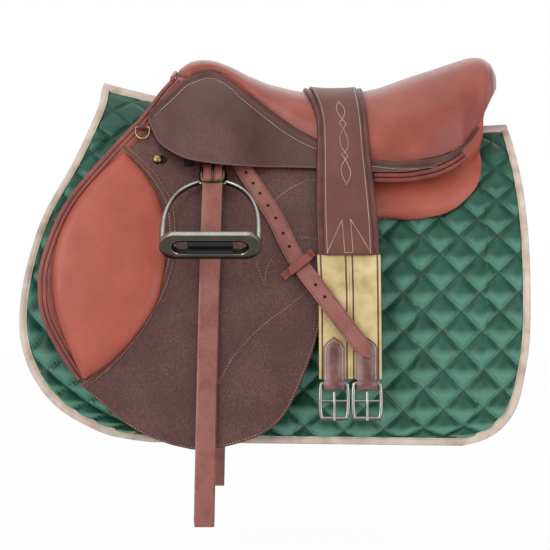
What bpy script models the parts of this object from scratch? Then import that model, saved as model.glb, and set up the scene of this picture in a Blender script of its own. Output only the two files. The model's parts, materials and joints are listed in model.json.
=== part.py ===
"""Jumping saddle with its quilted pad, stirrups and girth, as separate pieces.

Metres, +Z up. The horse faces -X, the near (left) side is -Y. The origin is on the
horse's spine line, under the middle of the saddle.
"""
import math

import bmesh
import bpy
from mathutils import Matrix, Vector

MM = 0.001
GAP = 0.3 * MM
LEATHER_GAP = 0.9 * MM
SEAM_GAP = 1.2 * MM

# Horse's back: half girth of the barrel, its depth, and how square its section is
BARREL_HALF_WIDTH = 175 * MM
BARREL_DEPTH = 520 * MM
BARREL_SQUARENESS = 2.5
SPINE_DIP = 0.3
SPINE_TILT = -0.13
POMMEL_LIFT = 22 * MM
POMMEL_X = -100 * MM
POMMEL_FADE = 80 * MM

# Layers, counted outwards from the horse
CLOTH_THICKNESS = 12 * MM
PANEL_THICKNESS = 21.5 * MM
TREE_THICKNESS = 6 * MM
SWEAT_FLAP_THICKNESS = 3 * MM
BILLET_THICKNESS = 4 * MM
FLAP_THICKNESS = 4 * MM
SKIRT_THICKNESS = 3.5 * MM
STRAP_THICKNESS = 3.6 * MM
GIRTH_THICKNESS = 5 * MM
OVERLAY_THICKNESS = 2.5 * MM
KNEE_CROWN = 15 * MM
BAR_ROOM = 21.5 * MM
SEAT_LEATHER = 3 * MM
FOAM_ROOM = 2 * MM

# Widths and lengths of straps and metal
STRAP_WIDTH = 27 * MM
BILLET_WIDTH = 25 * MM
GIRTH_WIDTH = 82 * MM
OVERLAY_WIDTH = 64 * MM
ELASTIC_WIDTH = 42 * MM
CHAPE_WIDTH = 28 * MM
BINDING_WIDTH = 9 * MM
IRON_TREAD_WIDTH = 120 * MM
IRON_HEIGHT = 128 * MM
IRON_WIRE = 7 * MM
IRON_TILT = 46.0
TREAD_DEPTH = 44 * MM
TREAD_HEIGHT = 10 * MM
BUCKLE_WIRE = 4.4 * MM
BUCKLE_HEIGHT = 46 * MM
DEE_WIDTH = 19 * MM
DEE_WIRE = 2.6 * MM
PIPING = 7 * MM

# Where each layer starts, one on the next
PANEL_IN = CLOTH_THICKNESS + SEAM_GAP
TREE_IN = PANEL_IN + PANEL_THICKNESS + SEAM_GAP
TREE_OUT = TREE_IN + TREE_THICKNESS
SWEAT_IN = TREE_IN
BILLET_IN = TREE_OUT + LEATHER_GAP
FLAP_IN = BILLET_IN + BILLET_THICKNESS + LEATHER_GAP
FLAP_OUT = FLAP_IN + FLAP_THICKNESS
STRAP_IN = FLAP_OUT + LEATHER_GAP
SKIRT_IN = FLAP_OUT + 2 * LEATHER_GAP
SKIRT_OUT = SKIRT_IN + SKIRT_THICKNESS
SEAT_EDGE = SKIRT_OUT

# Side view outlines, x and z in millimetres, followed from top to bottom
CLOTH_FRONT = [(-251, 64), (-253, 21), (-280, -54), (-319, -132), (-340, -201), (-349, -263),
               (-346, -311), (-328, -358), (-293, -399), (-239, -429), (-205, -438), (-170, -443)]
CLOTH_REAR = [(338, 2), (340, -28), (348, -95), (352, -180), (350, -290), (342, -350),
              (330, -396), (310, -424), (285, -440), (255, -448)]
FLAP_FRONT = [(-146, 66), (-162, 44), (-186, 7), (-233, -48), (-286, -117), (-315, -190),
              (-320, -236), (-313, -277), (-286, -328), (-252, -372), (-197, -418),
              (-150, -440), (-115, -449)]
FLAP_REAR = [(105, -62), (104, -100), (98, -150), (84, -210), (66, -265), (52, -315),
             (38, -352), (22, -388), (5, -412), (-20, -430), (-50, -441), (-80, -448),
             (-105, -449.5)]
KNEE_FRONT = [(-208, -46), (-239, -77), (-267, -112), (-288, -152), (-298, -192),
              (-299, -230), (-294, -265), (-282, -300), (-269, -330), (-258, -353)]
KNEE_REAR = [(-205, -47), (-178, -78), (-158, -112), (-150, -150), (-148, -190),
             (-152, -226), (-163, -260), (-190, -300), (-222, -333), (-254, -355)]
SKIRT_FRONT = [(-176, 12), (-148, 39), (-126, 64)]
SKIRT_LOW = [(-177, 7), (-169, -15), (-158, -34), (-138, -49), (-113, -59), (-72, -65),
             (-35, -67), (7, -67), (58, -68), (100, -71), (143, -73), (187, -72), (229, -62),
             (262, -41), (283, -16), (290, -4)]
PANEL_FRONT = [(-150, 24), (-182, -14), (-226, -62), (-262, -112), (-281, -160), (-289, -205),
               (-284, -250), (-264, -292), (-232, -325), (-192, -345)]
PANEL_REAR = [(281, -6), (290, -36), (291, -61), (285, -86), (270, -106), (240, -128),
              (190, -138), (130, -142), (40, -200), (-150, -350)]
# Seat: x, its top, its lower seam, and its half width there (0 where it follows the layer)
SEAT_SIDE = [(-143, 77, 71, 30), (-138, 85, 66, 60), (-123, 95, 67, 0), (-107, 99, 76, 0),
             (-88, 98, 79, 0), (-63, 88, 64, 0), (-37, 74, 42, 0), (-10, 63, 20, 0),
             (30, 53, -10, 0), (70, 48, -31, 0), (110, 49, -47, 0), (150, 57, -55, 0),
             (190, 72, -56, 0), (230, 85, -49, 0), (262, 96, -35, 0), (285, 103, -6, 0),
             (300, 102, 22, 94), (312, 94, 44, 74), (319, 82, 54, 48), (322, 70, 60, 24)]
SKIRT_TOP = SKIRT_FRONT + [row[:3:2] for row in SEAT_SIDE if -110 < row[0] < 280] + [(287, -6)]


def catmull(points, t):
    """Point at share t of a smooth curve through the points."""
    lengths = [math.dist(a, b) for a, b in zip(points, points[1:])]
    goal = t * sum(lengths)
    i = 0
    while i < len(lengths) - 1 and goal > lengths[i]:
        goal -= lengths[i]
        i += 1
    u = min(1.0, goal / lengths[i])
    p1, p2 = Vector(points[i]), Vector(points[i + 1])
    p0 = Vector(points[i - 1]) if i else 2 * p1 - p2
    p3 = Vector(points[i + 2]) if i + 2 < len(points) else 2 * p2 - p1
    return 0.5 * (2 * p1 + (p2 - p0) * u + (2 * p0 - 5 * p1 + 4 * p2 - p3) * u ** 2
                  + (3 * p1 - p0 - 3 * p2 + p3) * u ** 3)


def smooth(a, b, x):
    """0 below a, 1 above b, eased between."""
    t = min(1.0, max(0.0, (x - a) / (b - a)))
    return t * t * (3 - 2 * t)


def lift(x):
    """How much higher the saddle's head stands over the withers."""
    return POMMEL_LIFT * (1 - smooth(POMMEL_X + 20 * MM, POMMEL_X + 20 * MM + POMMEL_FADE * 1.5, x))


def spine(x):
    return SPINE_DIP * x * x + SPINE_TILT * x


def half_width(x, z, d, raised=True):
    """Half width of the layer that lies d outside the horse, at a height z."""
    up = lift(x) if raised else 0.0
    depth = BARREL_DEPTH + up
    level = (z - spine(x) - up + depth) / (depth + d)
    level = min(1.0, max(0.0, level))
    return (BARREL_HALF_WIDTH + d) * math.sqrt(max(0.0, 1 - level ** BARREL_SQUARENESS))


def arch_point(x, z_share, low, d, raised=True):
    """Point of an arch over the spine: share 0 is its top, 1 and -1 are its two lower edges."""
    up = lift(x) if raised else 0.0
    depth = BARREL_DEPTH + up
    floor = (low - spine(x) - up + depth) / (depth + d)
    start = math.asin(min(1.0, max(0.0, floor)) ** (BARREL_SQUARENESS / 2))
    angle = start + (math.pi / 2 - start) * (1 - abs(z_share))
    level = math.sin(angle) ** (2 / BARREL_SQUARENESS)
    w = (BARREL_HALF_WIDTH + d) * math.cos(angle)
    z = level * (depth + d) - depth + up + spine(x)
    return Vector((x, math.copysign(w, z_share), z))


def paint(obj, name, colour, roughness, metallic=0.0):
    material = bpy.data.materials.get(name) or bpy.data.materials.new(name)
    material.use_nodes = True
    shader = material.node_tree.nodes["Principled BSDF"]
    shader.inputs["Base Color"].default_value = (*colour, 1)
    shader.inputs["Roughness"].default_value = roughness
    shader.inputs["Metallic"].default_value = metallic
    obj.data.materials.clear()
    obj.data.materials.append(material)


FINISH = {
    "brick": ("brick leather", (0.36, 0.085, 0.05), 0.42, 0.0),
    "dark": ("dark brown leather", (0.07, 0.026, 0.022), 0.6, 0.0),
    "skirt": ("brown skirt leather", (0.13, 0.06, 0.05), 0.55, 0.0),
    "strap": ("oxblood strap leather", (0.2, 0.05, 0.045), 0.45, 0.0),
    "girth": ("girth leather", (0.15, 0.055, 0.035), 0.5, 0.0),
    "elastic": ("beige elastic", (0.58, 0.44, 0.22), 0.85, 0.0),
    "satin": ("green quilted satin", (0.015, 0.1, 0.06), 0.4, 0.0),
    "binding": ("champagne binding", (0.6, 0.5, 0.4), 0.6, 0.0),
    "steel": ("polished steel", (0.7, 0.7, 0.72), 0.15, 1.0),
    "brass": ("pale brass", (0.75, 0.62, 0.38), 0.25, 1.0),
    "black": ("blackened steel", (0.04, 0.04, 0.045), 0.4, 1.0),
    "rubber": ("black rubber", (0.02, 0.02, 0.02), 0.8, 0.0),
    "foam": ("latex foam", (0.8, 0.72, 0.5), 0.9, 0.0),
    "wood": ("beech laminate", (0.5, 0.32, 0.16), 0.6, 0.0),
    "web": ("linen webbing", (0.55, 0.48, 0.35), 0.9, 0.0),
}


def place(name, bm, finish, pivot=None, sharp=35.0):
    """Make a named object of a bmesh; its origin goes to the pivot of its joint."""
    bmesh.ops.remove_doubles(bm, verts=bm.verts, dist=1e-6)
    bmesh.ops.recalc_face_normals(bm, faces=bm.faces)
    if bm.calc_volume(signed=True) < 0:
        bmesh.ops.reverse_faces(bm, faces=bm.faces)
    mesh = bpy.data.meshes.new(name)
    bm.to_mesh(mesh)
    bm.free()
    obj = bpy.data.objects.new(name, mesh)
    bpy.context.scene.collection.objects.link(obj)
    mesh.shade_smooth()
    mesh.set_sharp_from_angle(angle=math.radians(sharp))
    if pivot:
        mesh.transform(Matrix.Translation(-Vector(pivot)))
        obj.location = pivot
    paint(obj, *FINISH[finish])
    return obj


def add_slab(bm, outer, inner):
    """A closed slab between two grids of points with the same rows and columns."""
    rows, cols = len(outer), len(outer[0])
    top = [[bm.verts.new(p) for p in row] for row in outer]
    low = [[bm.verts.new(p) for p in row] for row in inner]
    for i in range(rows - 1):
        for j in range(cols - 1):
            bm.faces.new((top[i][j], top[i][j + 1], top[i + 1][j + 1], top[i + 1][j]))
            bm.faces.new((low[i][j], low[i + 1][j], low[i + 1][j + 1], low[i][j + 1]))
    rim = [(0, j) for j in range(cols)] + [(i, cols - 1) for i in range(1, rows)]
    rim += [(rows - 1, j) for j in range(cols - 2, -1, -1)] + [(i, 0) for i in range(rows - 2, 0, -1)]
    for (a, b), (c, e) in zip(rim, rim[1:] + rim[:1]):
        bm.faces.new((top[a][b], low[a][b], low[c][e], top[c][e]))


def add_tube(bm, sections, closed=False):
    """A tube through rings of points, capped at its ends unless it closes on itself."""
    rings = [[bm.verts.new(p) for p in ring] for ring in sections]
    count = len(rings[0])
    pairs = list(zip(rings, rings[1:])) + ([(rings[-1], rings[0])] if closed else [])
    for a, b in pairs:
        for k in range(count):
            m = (k + 1) % count
            bm.faces.new((a[k], a[m], b[m], b[k]))
    if not closed:
        bm.faces.new(rings[0])
        bm.faces.new(list(reversed(rings[-1])))


def ring_at(centre, ahead, flat, wide, thick, sides=8):
    """Oval ring across a path: wide along flat, thick across it."""
    ahead = Vector(ahead).normalized()
    flat = Vector(flat)
    flat = (flat - ahead * flat.dot(ahead)).normalized()
    other = ahead.cross(flat)
    turn = [2 * math.pi * (k + 0.5) / sides for k in range(sides)]
    return [centre + flat * (wide / 2 * math.cos(a)) + other * (thick / 2 * math.sin(a)) for a in turn]


def tube_along(bm, path, flat, wide, thick, sides=8, closed=False):
    """An oval bar along a path of points."""
    sections = []
    for k, p in enumerate(path):
        if closed:
            ahead = path[(k + 1) % len(path)] - path[k - 1]
        else:
            ahead = path[min(k + 1, len(path) - 1)] - path[max(k - 1, 0)]
        sections.append(ring_at(p, ahead, flat, wide, thick, sides))
    add_tube(bm, sections, closed)


def side_patch(front, rear, rows, cols, side, depth_in, depth_out, first=0.0, last=1.0):
    """Two grids that follow the side of the saddle between a front and a rear edge.

    depth_in and depth_out give the layer at a point, from x, z and the shares along the patch.
    """
    outer, inner = [], []
    for i in range(rows):
        t = first + (last - first) * i / (rows - 1)
        a, b = catmull(front, t) * MM, catmull(rear, t) * MM
        outer.append([])
        inner.append([])
        for j in range(cols):
            u = j / (cols - 1)
            p = a.lerp(b, u)
            for grid, depth in ((outer, depth_out), (inner, depth_in)):
                w = half_width(p.x, p.y, depth(p.x, p.y, t, u))
                grid[-1].append(Vector((p.x, side * w, p.y)))
    return outer, inner


def leather_patch(name, front, rear, rows, cols, side, depth, thickness, finish, **span):
    """A leather sheet of even thickness on the side of the saddle."""
    bm = bmesh.new()
    outer, inner = side_patch(front, rear, rows, cols, side,
                              lambda x, z, t, u: depth, lambda x, z, t, u: depth + thickness, **span)
    add_slab(bm, outer, inner)
    return place(name, bm, finish)


def seat_at(x):
    """Top, seam height and seam half width of the seat at a place along it."""
    rows = SEAT_SIDE
    goal = min(max(x / MM, rows[0][0]), rows[-1][0])
    i = max(k for k in range(len(rows) - 1) if rows[k][0] <= goal)
    u = (goal - rows[i][0]) / (rows[i + 1][0] - rows[i][0])
    ends = []
    for at, top, seam, width in rows[i:i + 2]:
        ends.append((top * MM, seam * MM, width * MM or half_width(at * MM, seam * MM, SEAT_EDGE)))
    return tuple(a + (b - a) * u for a, b in zip(*ends))


def seat_point(x, share, cut=0.0):
    """Point across the seat's dome: share 0 is its crown, 1 and -1 its two seams."""
    top, seam, width = seat_at(x)
    a = math.pi / 2 * abs(share)
    w = (width - cut) * math.sin(a) ** 0.85
    z = seam + max(top - cut - seam, 0.5 * MM) * max(0.0, math.cos(a)) ** 0.8
    return Vector((x, math.copysign(w, share), z))


def layer_height(x, w, d):
    """Height of the layer over the spine at a half width w."""
    depth = BARREL_DEPTH + lift(x)
    level = max(0.0, 1 - (abs(w) / (BARREL_HALF_WIDTH + d)) ** 2) ** (1 / BARREL_SQUARENESS)
    return level * (depth + d) - depth + lift(x) + spine(x)


SIDES = (("left", -1), ("right", 1))
CLOTH_ROWS = 37
GULLET_HALF = 30 * MM


def cloth_grids(edge, depth_in, depth_out, cols):
    """The saddle pad's two faces, inside its edge by a given width."""
    outer, inner = [], []
    for i in range(CLOTH_ROWS):
        share = 2 * i / (CLOTH_ROWS - 1) - 1
        t = abs(share) ** 1.3
        a, b = catmull(CLOTH_FRONT, t) * MM, catmull(CLOTH_REAR, t) * MM
        drop = edge * t * t
        reach = (b - a).normalized() * edge
        a, b = a + reach + Vector((0, drop)), b - reach + Vector((0, drop))
        outer.append([])
        inner.append([])
        for j in range(cols):
            p = a.lerp(b, j / (cols - 1))
            for grid, d in ((outer, depth_out), (inner, depth_in)):
                grid[-1].append(cloth_point(p.x, p.y, share, d))
    return outer, inner


def cloth_point(x, z, share, d):
    """Point of the pad: near the spine it goes by angle, lower down by height."""
    if share == 0:
        return Vector((x, 0, spine(x) + d))
    top = spine(x) + d - 0.4 * MM
    w = half_width(x, min(z, top), d, raised=False)
    return Vector((x, math.copysign(w, share), min(z, top)))


def saddle_pad():
    bm = bmesh.new()
    edge = BINDING_WIDTH + LEATHER_GAP
    outer, inner = cloth_grids(edge, 0.0, CLOTH_THICKNESS, 9)
    add_slab(bm, outer, inner)
    place("saddle_pad", bm, "satin")


def pad_binding():
    """The binding round the pad's edge, one closed loop over both sides."""
    outer, inner = cloth_grids(0.0, -1.0 * MM, CLOTH_THICKNESS + 1.0 * MM, 9)
    outer_in, inner_in = cloth_grids(BINDING_WIDTH, -1.0 * MM, CLOTH_THICKNESS + 1.0 * MM, 9)

    def rim(grid):
        rows, cols = len(grid), len(grid[0])
        loop = [grid[0][j] for j in range(cols)] + [grid[i][-1] for i in range(1, rows)]
        loop += [grid[-1][j] for j in range(cols - 2, -1, -1)]
        return loop + [grid[i][0] for i in range(rows - 2, 0, -1)]

    bm = bmesh.new()
    add_tube(bm, list(zip(rim(outer), rim(inner), rim(inner_in), rim(outer_in))), closed=True)
    place("pad_binding", bm, "binding")


PANEL_EDGE = 7 * MM
TREE_LOW = [(-120, -34), (-112, -72), (-62, -74), (-40, -30), (40, -30), (120, -52), (200, -52),
            (262, -32), (286, 2)]
SEAT_WINDOW = (-40 * MM, 200 * MM, 52 * MM)


def panel(word, side):
    """Wool-stuffed cushion that carries the saddle beside the spine."""
    def swell(t, u):
        crown = (1 - abs(2 * u - 1) ** 5) * (1 - max(0.0, 2 * t - 1) ** 3) * min(1.0, 0.55 + 3 * t)
        return PANEL_EDGE + (PANEL_THICKNESS - PANEL_EDGE) * crown

    bm = bmesh.new()
    outer, inner = [], []
    rows, cols = 13, 9
    for i in range(rows):
        t = (i / (rows - 1)) ** 1.5
        a, b = catmull(PANEL_FRONT, t) * MM, catmull(PANEL_REAR, t) * MM
        outer.append([])
        inner.append([])
        for j in range(cols):
            u = j / (cols - 1)
            p = a.lerp(b, u)
            low = max(GULLET_HALF, half_width(p.x, p.y, PANEL_IN + 2.2 * MM * (1 - t), raised=False))
            high = max(low + 3 * MM, half_width(p.x, p.y, PANEL_IN + swell(t, u)))
            inner[-1].append(Vector((p.x, side * low, p.y)))
            outer[-1].append(Vector((p.x, side * high, p.y)))
    add_slab(bm, outer, inner)
    place(f"panel_{word}", bm, "brick")


def arch_slab(name, xs, low, depth, thickness, finish, count=16, share=1.0):
    """A saddle-shaped plate over the spine between two layers."""
    bm = bmesh.new()
    outer, inner = [], []
    for x in xs:
        for grid, d in ((outer, depth + thickness), (inner, depth)):
            steps = [share * (2 * k / count - 1) for k in range(count + 1)]
            grid.append([arch_point(x, s, low(x), d) for s in steps])
    add_slab(bm, outer, inner)
    return place(name, bm, finish)


def height_along(table, x):
    """Height in a list of places, straight between them."""
    goal = min(max(x / MM, table[0][0]), table[-1][0])
    i = max(k for k in range(len(table) - 1) if table[k][0] <= goal)
    (x0, z0), (x1, z1) = table[i], table[i + 1]
    return (z0 + (z1 - z0) * (goal - x0) / (x1 - x0)) * MM


def cut(obj, cutter, operation="DIFFERENCE"):
    """Boolean with a hidden tool."""
    cutter.hide_render = True
    cutter.display_type = "WIRE"
    modifier = obj.modifiers.new(operation.lower(), "BOOLEAN")
    modifier.operation = operation
    modifier.object = cutter
    modifier.solver = "EXACT"


def box(name, low, high, finish="black"):
    bm = bmesh.new()
    bmesh.ops.create_cube(bm, size=1.0)
    size = Vector(high) - Vector(low)
    for v in bm.verts:
        v.co = Vector(low) + Vector(((v.co.x + 0.5) * size.x, (v.co.y + 0.5) * size.y, (v.co.z + 0.5) * size.z))
    return place(name, bm, finish)


def tree_and_seat():
    """Beech spring tree, its head plate, webbing, foam and leather cover."""
    xs = [x * MM for x in (-120, -112, -87, -62, -40, 0, 40, 80, 120, 160, 200, 231, 262, 286)]
    tree = arch_slab("tree", xs, lambda x: height_along(TREE_LOW, x), TREE_IN, TREE_THICKNESS, "wood")
    x0, x1, half = SEAT_WINDOW
    cut(tree, box("seat_window", (x0, -half, -80 * MM), (x1, half, 120 * MM)))
    arch_slab("head_plate", [-118 * MM, -96 * MM], lambda x: -34 * MM, BILLET_IN + GAP, 2 * MM, "black")
    webs = [x0 + LEATHER_GAP + (x1 - x0 - 2 * LEATHER_GAP) * k / 6 for k in range(7)]
    bm = bmesh.new()
    outer, inner = [], []
    for x in webs:
        for grid, d in ((outer, TREE_IN + 4 * MM), (inner, TREE_IN + 2 * MM)):
            ws = [(half - LEATHER_GAP) * k / 4 for k in range(-4, 5)]
            grid.append([Vector((x, w, layer_height(x, w, d))) for w in ws])
    add_slab(bm, outer, inner)
    place("seat_webbing", bm, "web")

    bm = bmesh.new()
    outer, inner = [], []
    for x in (-88, -63, -37, -10, 30, 70, 110, 150, 190, 230, 262):
        for grid, is_top in ((outer, True), (inner, False)):
            row = []
            for k in range(-5, 6):
                p = seat_point(x * MM, k / 5 * 0.57, SEAT_LEATHER + FOAM_ROOM)
                if not is_top:
                    p.z = min(p.z - MM, layer_height(p.x, p.y, TREE_OUT + FOAM_ROOM))
                row.append(p)
            grid.append(row)
    add_slab(bm, outer, inner)
    place("seat_foam", bm, "foam")

    bm = bmesh.new()
    outer, inner = [], []
    for k, row in enumerate(SEAT_SIDE):
        x = row[0] * MM
        inset = 2 * MM if k == 0 else (-2 * MM if k == len(SEAT_SIDE) - 1 else 0)
        shares = [m / 7 for m in range(-7, 8)]
        outer.append([seat_point(x, s) for s in shares])
        inner.append([seat_point(x, s, SEAT_LEATHER) + Vector((inset, 0, 0)) for s in shares])
    add_slab(bm, outer, inner)
    place("seat_cover", bm, "brick", sharp=60)


def room_for_bar(x, u):
    """How far the skirt swells over the stirrup bar: full at its lower edge there."""
    return BAR_ROOM * math.exp(-((x - BAR_X) / (62 * MM)) ** 4) * smooth(0.0, 0.55, u)


BAR_X = -85 * MM
BAR_Z = -54 * MM
BAR_LENGTH = 56 * MM
BAR_DEPTH = 5 * MM
BAR_THICKNESS = 3.4 * MM
LOOP_ROOM = 0.5 * MM


def side_leathers(word, side):
    """Sweat flap, flap, knee pad, skirt and piping of one side."""
    leather_patch(f"sweat_flap_{word}", [(x - 5, z) for x, z in FLAP_FRONT],
                  [(x - 6, z + 4) for x, z in FLAP_REAR], 16, 6, side, SWEAT_IN,
                  SWEAT_FLAP_THICKNESS, "brick", first=0.24, last=0.985)
    flap = leather_patch(f"flap_{word}", FLAP_FRONT, FLAP_REAR, 24, 8, side, FLAP_IN,
                         FLAP_THICKNESS, "dark")
    y = side * half_width(BAR_X, BAR_Z, FLAP_IN)
    window = box(f"bar_window_{word}", (BAR_X - 36 * MM, min(y - 30 * MM, y + 30 * MM), BAR_Z - 1 * MM),
                 (BAR_X - 26 * MM, max(y - 30 * MM, y + 30 * MM), BAR_Z + 13 * MM))
    cut(flap, window)

    def pad_depth(x, z, t, u):
        crown = (1 - abs(2 * u - 1) ** 3) * (1 - abs(2 * t - 1) ** 5)
        return STRAP_IN + 3 * MM + (KNEE_CROWN - 3 * MM) * math.sqrt(max(0.0, crown))

    bm = bmesh.new()
    add_slab(bm, *side_patch(KNEE_FRONT, KNEE_REAR, 13, 8, side, lambda x, z, t, u: STRAP_IN, pad_depth))
    place(f"knee_pad_{word}", bm, "brick", sharp=60)

    bm = bmesh.new()
    add_slab(bm, *side_patch(SKIRT_TOP, SKIRT_LOW, 26, 5, side,
                             lambda x, z, t, u: SKIRT_IN + room_for_bar(x, u),
                             lambda x, z, t, u: SKIRT_OUT + room_for_bar(x, u), first=0.01))
    skirt = place(f"skirt_{word}", bm, "skirt")
    skirt.location.z = -SEAM_GAP

    bm = bmesh.new()
    path = [catmull(SKIRT_LOW, 0.67 + 0.31 * k / 12) * MM for k in range(13)]
    drop = PIPING * 0.8 + SEAM_GAP + GAP
    points = []
    for k, p in enumerate(path):
        ahead = (path[min(k + 1, 12)] - path[max(k - 1, 0)]).normalized()
        q = p + Vector((ahead.y, -ahead.x)) * drop
        points.append(Vector((q.x, side * half_width(q.x, q.y, SKIRT_IN + MM), q.y)))
    tube_along(bm, points, (0, 0, 1), PIPING * 1.6, PIPING, 6)
    place(f"rear_piping_{word}", bm, "dark")


def layer_path(points, side):
    """Points given as x, z and layer, in metres, on one side."""
    return [Vector((x, side * half_width(x, z, d), z)) for x, z, d in points]


def strap_ring(p, ahead, face, wide, thick):
    """Rectangle across a strap; face is the direction its broad side looks to."""
    ahead = Vector(ahead).normalized()
    across = ahead.cross(Vector(face)).normalized()
    up = across.cross(ahead)
    return [p + across * (a * wide / 2) + up * (b * thick / 2)
            for a, b in ((-1, -1), (1, -1), (1, 1), (-1, 1))]


def facing(p, side):
    """Direction that the saddle's side looks to at a point."""
    step = MM
    d = FLAP_OUT
    slope_x = half_width(p.x + step, p.z, d) - half_width(p.x - step, p.z, d)
    slope_z = half_width(p.x, p.z + step, d) - half_width(p.x, p.z - step, d)
    return Vector((-slope_x, side * 2 * step, -slope_z)).normalized()


def strap(bm, path, side, wide, thick, closed=False, widths=None):
    """A flat strap along a path, flat on the saddle's side unless it is a loop."""
    sections = []
    for k, p in enumerate(path):
        if closed:
            ahead = path[(k + 1) % len(path)] - path[k - 1]
            face = Vector((1, 0, 0)).cross(ahead)
        else:
            ahead = path[min(k + 1, len(path) - 1)] - path[max(k - 1, 0)]
            face = facing(p, side)
        sections.append(strap_ring(p, ahead, face, widths[k] if widths else wide, thick))
    add_tube(bm, sections, closed)


IRON_PIVOT_Z = -80 * MM
SLOT_BACK = 6.5 * MM
SLOT_FRONT = 10.5 * MM
EYE_WIRE = 4.2 * MM
EYE_HALF = 17.5 * MM
STRAP_SLANT = 10 * MM
STRAP_BOTTOM = -549 * MM
FORK_WIRE = 4 * MM
BAR_OUT = 8.5 * MM
INNER_OUT = 8.2 * MM


def strap_x(z):
    """The hanging strap leans towards the horse's shoulder as it goes down."""
    return BAR_X + 0.5 * MM - STRAP_SLANT * (BAR_Z - z) / (BAR_Z - STRAP_BOTTOM)


def stirrup(word, side):
    """Bar, leather loop, iron and tread of one side."""
    flap_w = half_width(BAR_X, BAR_Z, FLAP_OUT)
    bar_w = flap_w + BAR_OUT
    bar_at = Vector((BAR_X, side * bar_w, BAR_Z))
    half = BAR_DEPTH / 2
    thick = BAR_THICKNESS / 2
    foot_x = BAR_X - 31 * MM
    foot_w = half_width(foot_x, BAR_Z, BILLET_IN) + GAP
    bm = bmesh.new()
    tube_along(bm, [bar_at + Vector((x * MM, 0, 0)) for x in (-34, 0, BAR_LENGTH / MM / 2)],
               (0, 1, 0), BAR_THICKNESS, BAR_DEPTH, 8)
    bar = place(f"stirrup_bar_{word}", bm, "black")

    def bar_box(name, x0, x1, w0, w1, z0, z1):
        ys = sorted((side * w0, side * w1))
        return box(name, (x0, ys[0], BAR_Z + z0), (x1, ys[1], BAR_Z + z1))

    cut(bar, bar_box(f"bar_foot_{word}", foot_x - 3.5 * MM, foot_x + 3.5 * MM, foot_w, bar_w, 0, 5 * MM),
        "UNION")
    cut(bar, bar_box(f"bar_stop_{word}", foot_x - 9 * MM, foot_x + 2 * MM, bar_w + GAP,
                     bar_w + 4.5 * MM, -11 * MM, half * 1.2), "UNION")
    pivot = bar_at + Vector((BAR_LENGTH / 2 + GAP + half, 0, 0))
    outline = [(half * math.cos(a), half * math.sin(a))
               for a in (math.radians(90 + 30 * k) for k in range(7))]
    outline += [(9 * MM, -half), (10.5 * MM, 0), (9 * MM, half)]
    bm = bmesh.new()
    add_tube(bm, [[pivot + Vector((x, y, z)) for x, z in outline] for y in (-thick, thick)])
    place(f"bar_catch_{word}", bm, "black", pivot)

    # Leather loop: round the bar, down both runs and round its lower fold
    def hang(z, w_out):
        """Point of a run, out from the flap's own surface at the strap's middle."""
        x = strap_x(z)
        return Vector((x, side * (half_width(x, z, FLAP_OUT) + w_out), z))

    eye_w = half_width(BAR_X, IRON_PIVOT_Z, FLAP_OUT) + INNER_OUT
    lie = LEATHER_GAP + 0.6 * MM + STRAP_THICKNESS / 2
    inner = [hang(IRON_PIVOT_Z + 8 * MM, 0), hang(IRON_PIVOT_Z - 8 * MM, 0)]
    for p in inner:
        p.y = side * eye_w
    below_bar = Vector((strap_x(BAR_Z), side * (bar_w - thick - 0.8 * MM), BAR_Z - half - 4 * MM))
    inner += [hang(z * MM, lie) for z in (-108, -130, -160, -190, -220, -260, -300, -340, -380, -420)]
    inner += [hang(z * MM, lie) for z in (-455, -500, -538)]
    fold = STRAP_THICKNESS + 0.8 * MM
    outer = [hang(z * MM, lie + fold) for z in (-538, -500, -455, -420, -380, -340, -300, -260, -220)]
    outer += [hang(z * MM, lie + fold + extra * MM) for z, extra in ((-180, 1), (-145, 3), (-120, 5))]
    outer += [hang(z * MM, out * MM) for z, out in ((-102, 17), (-88, 22), (-79, 20.5), (-66, 12))]
    path = []
    for k in range(7):
        a = math.radians(-15 + 210 * k / 6)
        path.append(bar_at + Vector((0, side * (thick + LOOP_ROOM + STRAP_THICKNESS / 2) * math.cos(a),
                                     (half + LOOP_ROOM + STRAP_THICKNESS / 2) * math.sin(a))))
    path = [Vector((strap_x(p.z), p.y, p.z)) for p in path]
    bottom = [hang(STRAP_BOTTOM, lie + share * fold) for share in (0.1, 0.9)]
    loop = path + [below_bar] + inner + bottom + outer
    bm = bmesh.new()
    strap(bm, loop, side, STRAP_WIDTH, STRAP_THICKNESS, closed=True)
    leather = place(f"stirrup_leather_{word}", bm, "strap", bar_at)

    # Leather's buckle lies on the outer run, below the skirt
    bm = bmesh.new()
    high, low = outer[-1], outer[-3]
    away = Vector((0, -(high.z - low.z) * -1, (high.y - low.y) * -1)).normalized()
    if away.y * side < 0:
        away = -away
    away *= STRAP_THICKNESS / 2 + FORK_WIRE / 4
    frame = [high.lerp(low, t) + away + Vector((x * MM, 0, 0))
             for x, t in ((-15, 0.1), (-15, 0.8), (-11, 1), (11, 1), (15, 0.8), (15, 0.1))]
    tube_along(bm, frame, (0, 1, 0), FORK_WIRE * 0.8, FORK_WIRE, 6, closed=True)
    cut(leather, place(f"leather_buckle_{word}", bm, "black"), "UNION")

    # Iron in its own plane: across, and down from the pivot; then tilted outwards
    pivot = Vector((strap_x(IRON_PIVOT_Z), side * eye_w, IRON_PIVOT_Z))
    tilt = math.radians(IRON_TILT)
    down = Vector((0, side * math.sin(tilt), -math.cos(tilt)))
    out = Vector((0, side * math.cos(tilt), math.sin(tilt)))

    def at(x, s, n=0.0):
        return pivot + Vector((x, 0, 0)) + down * s + out * n

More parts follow.
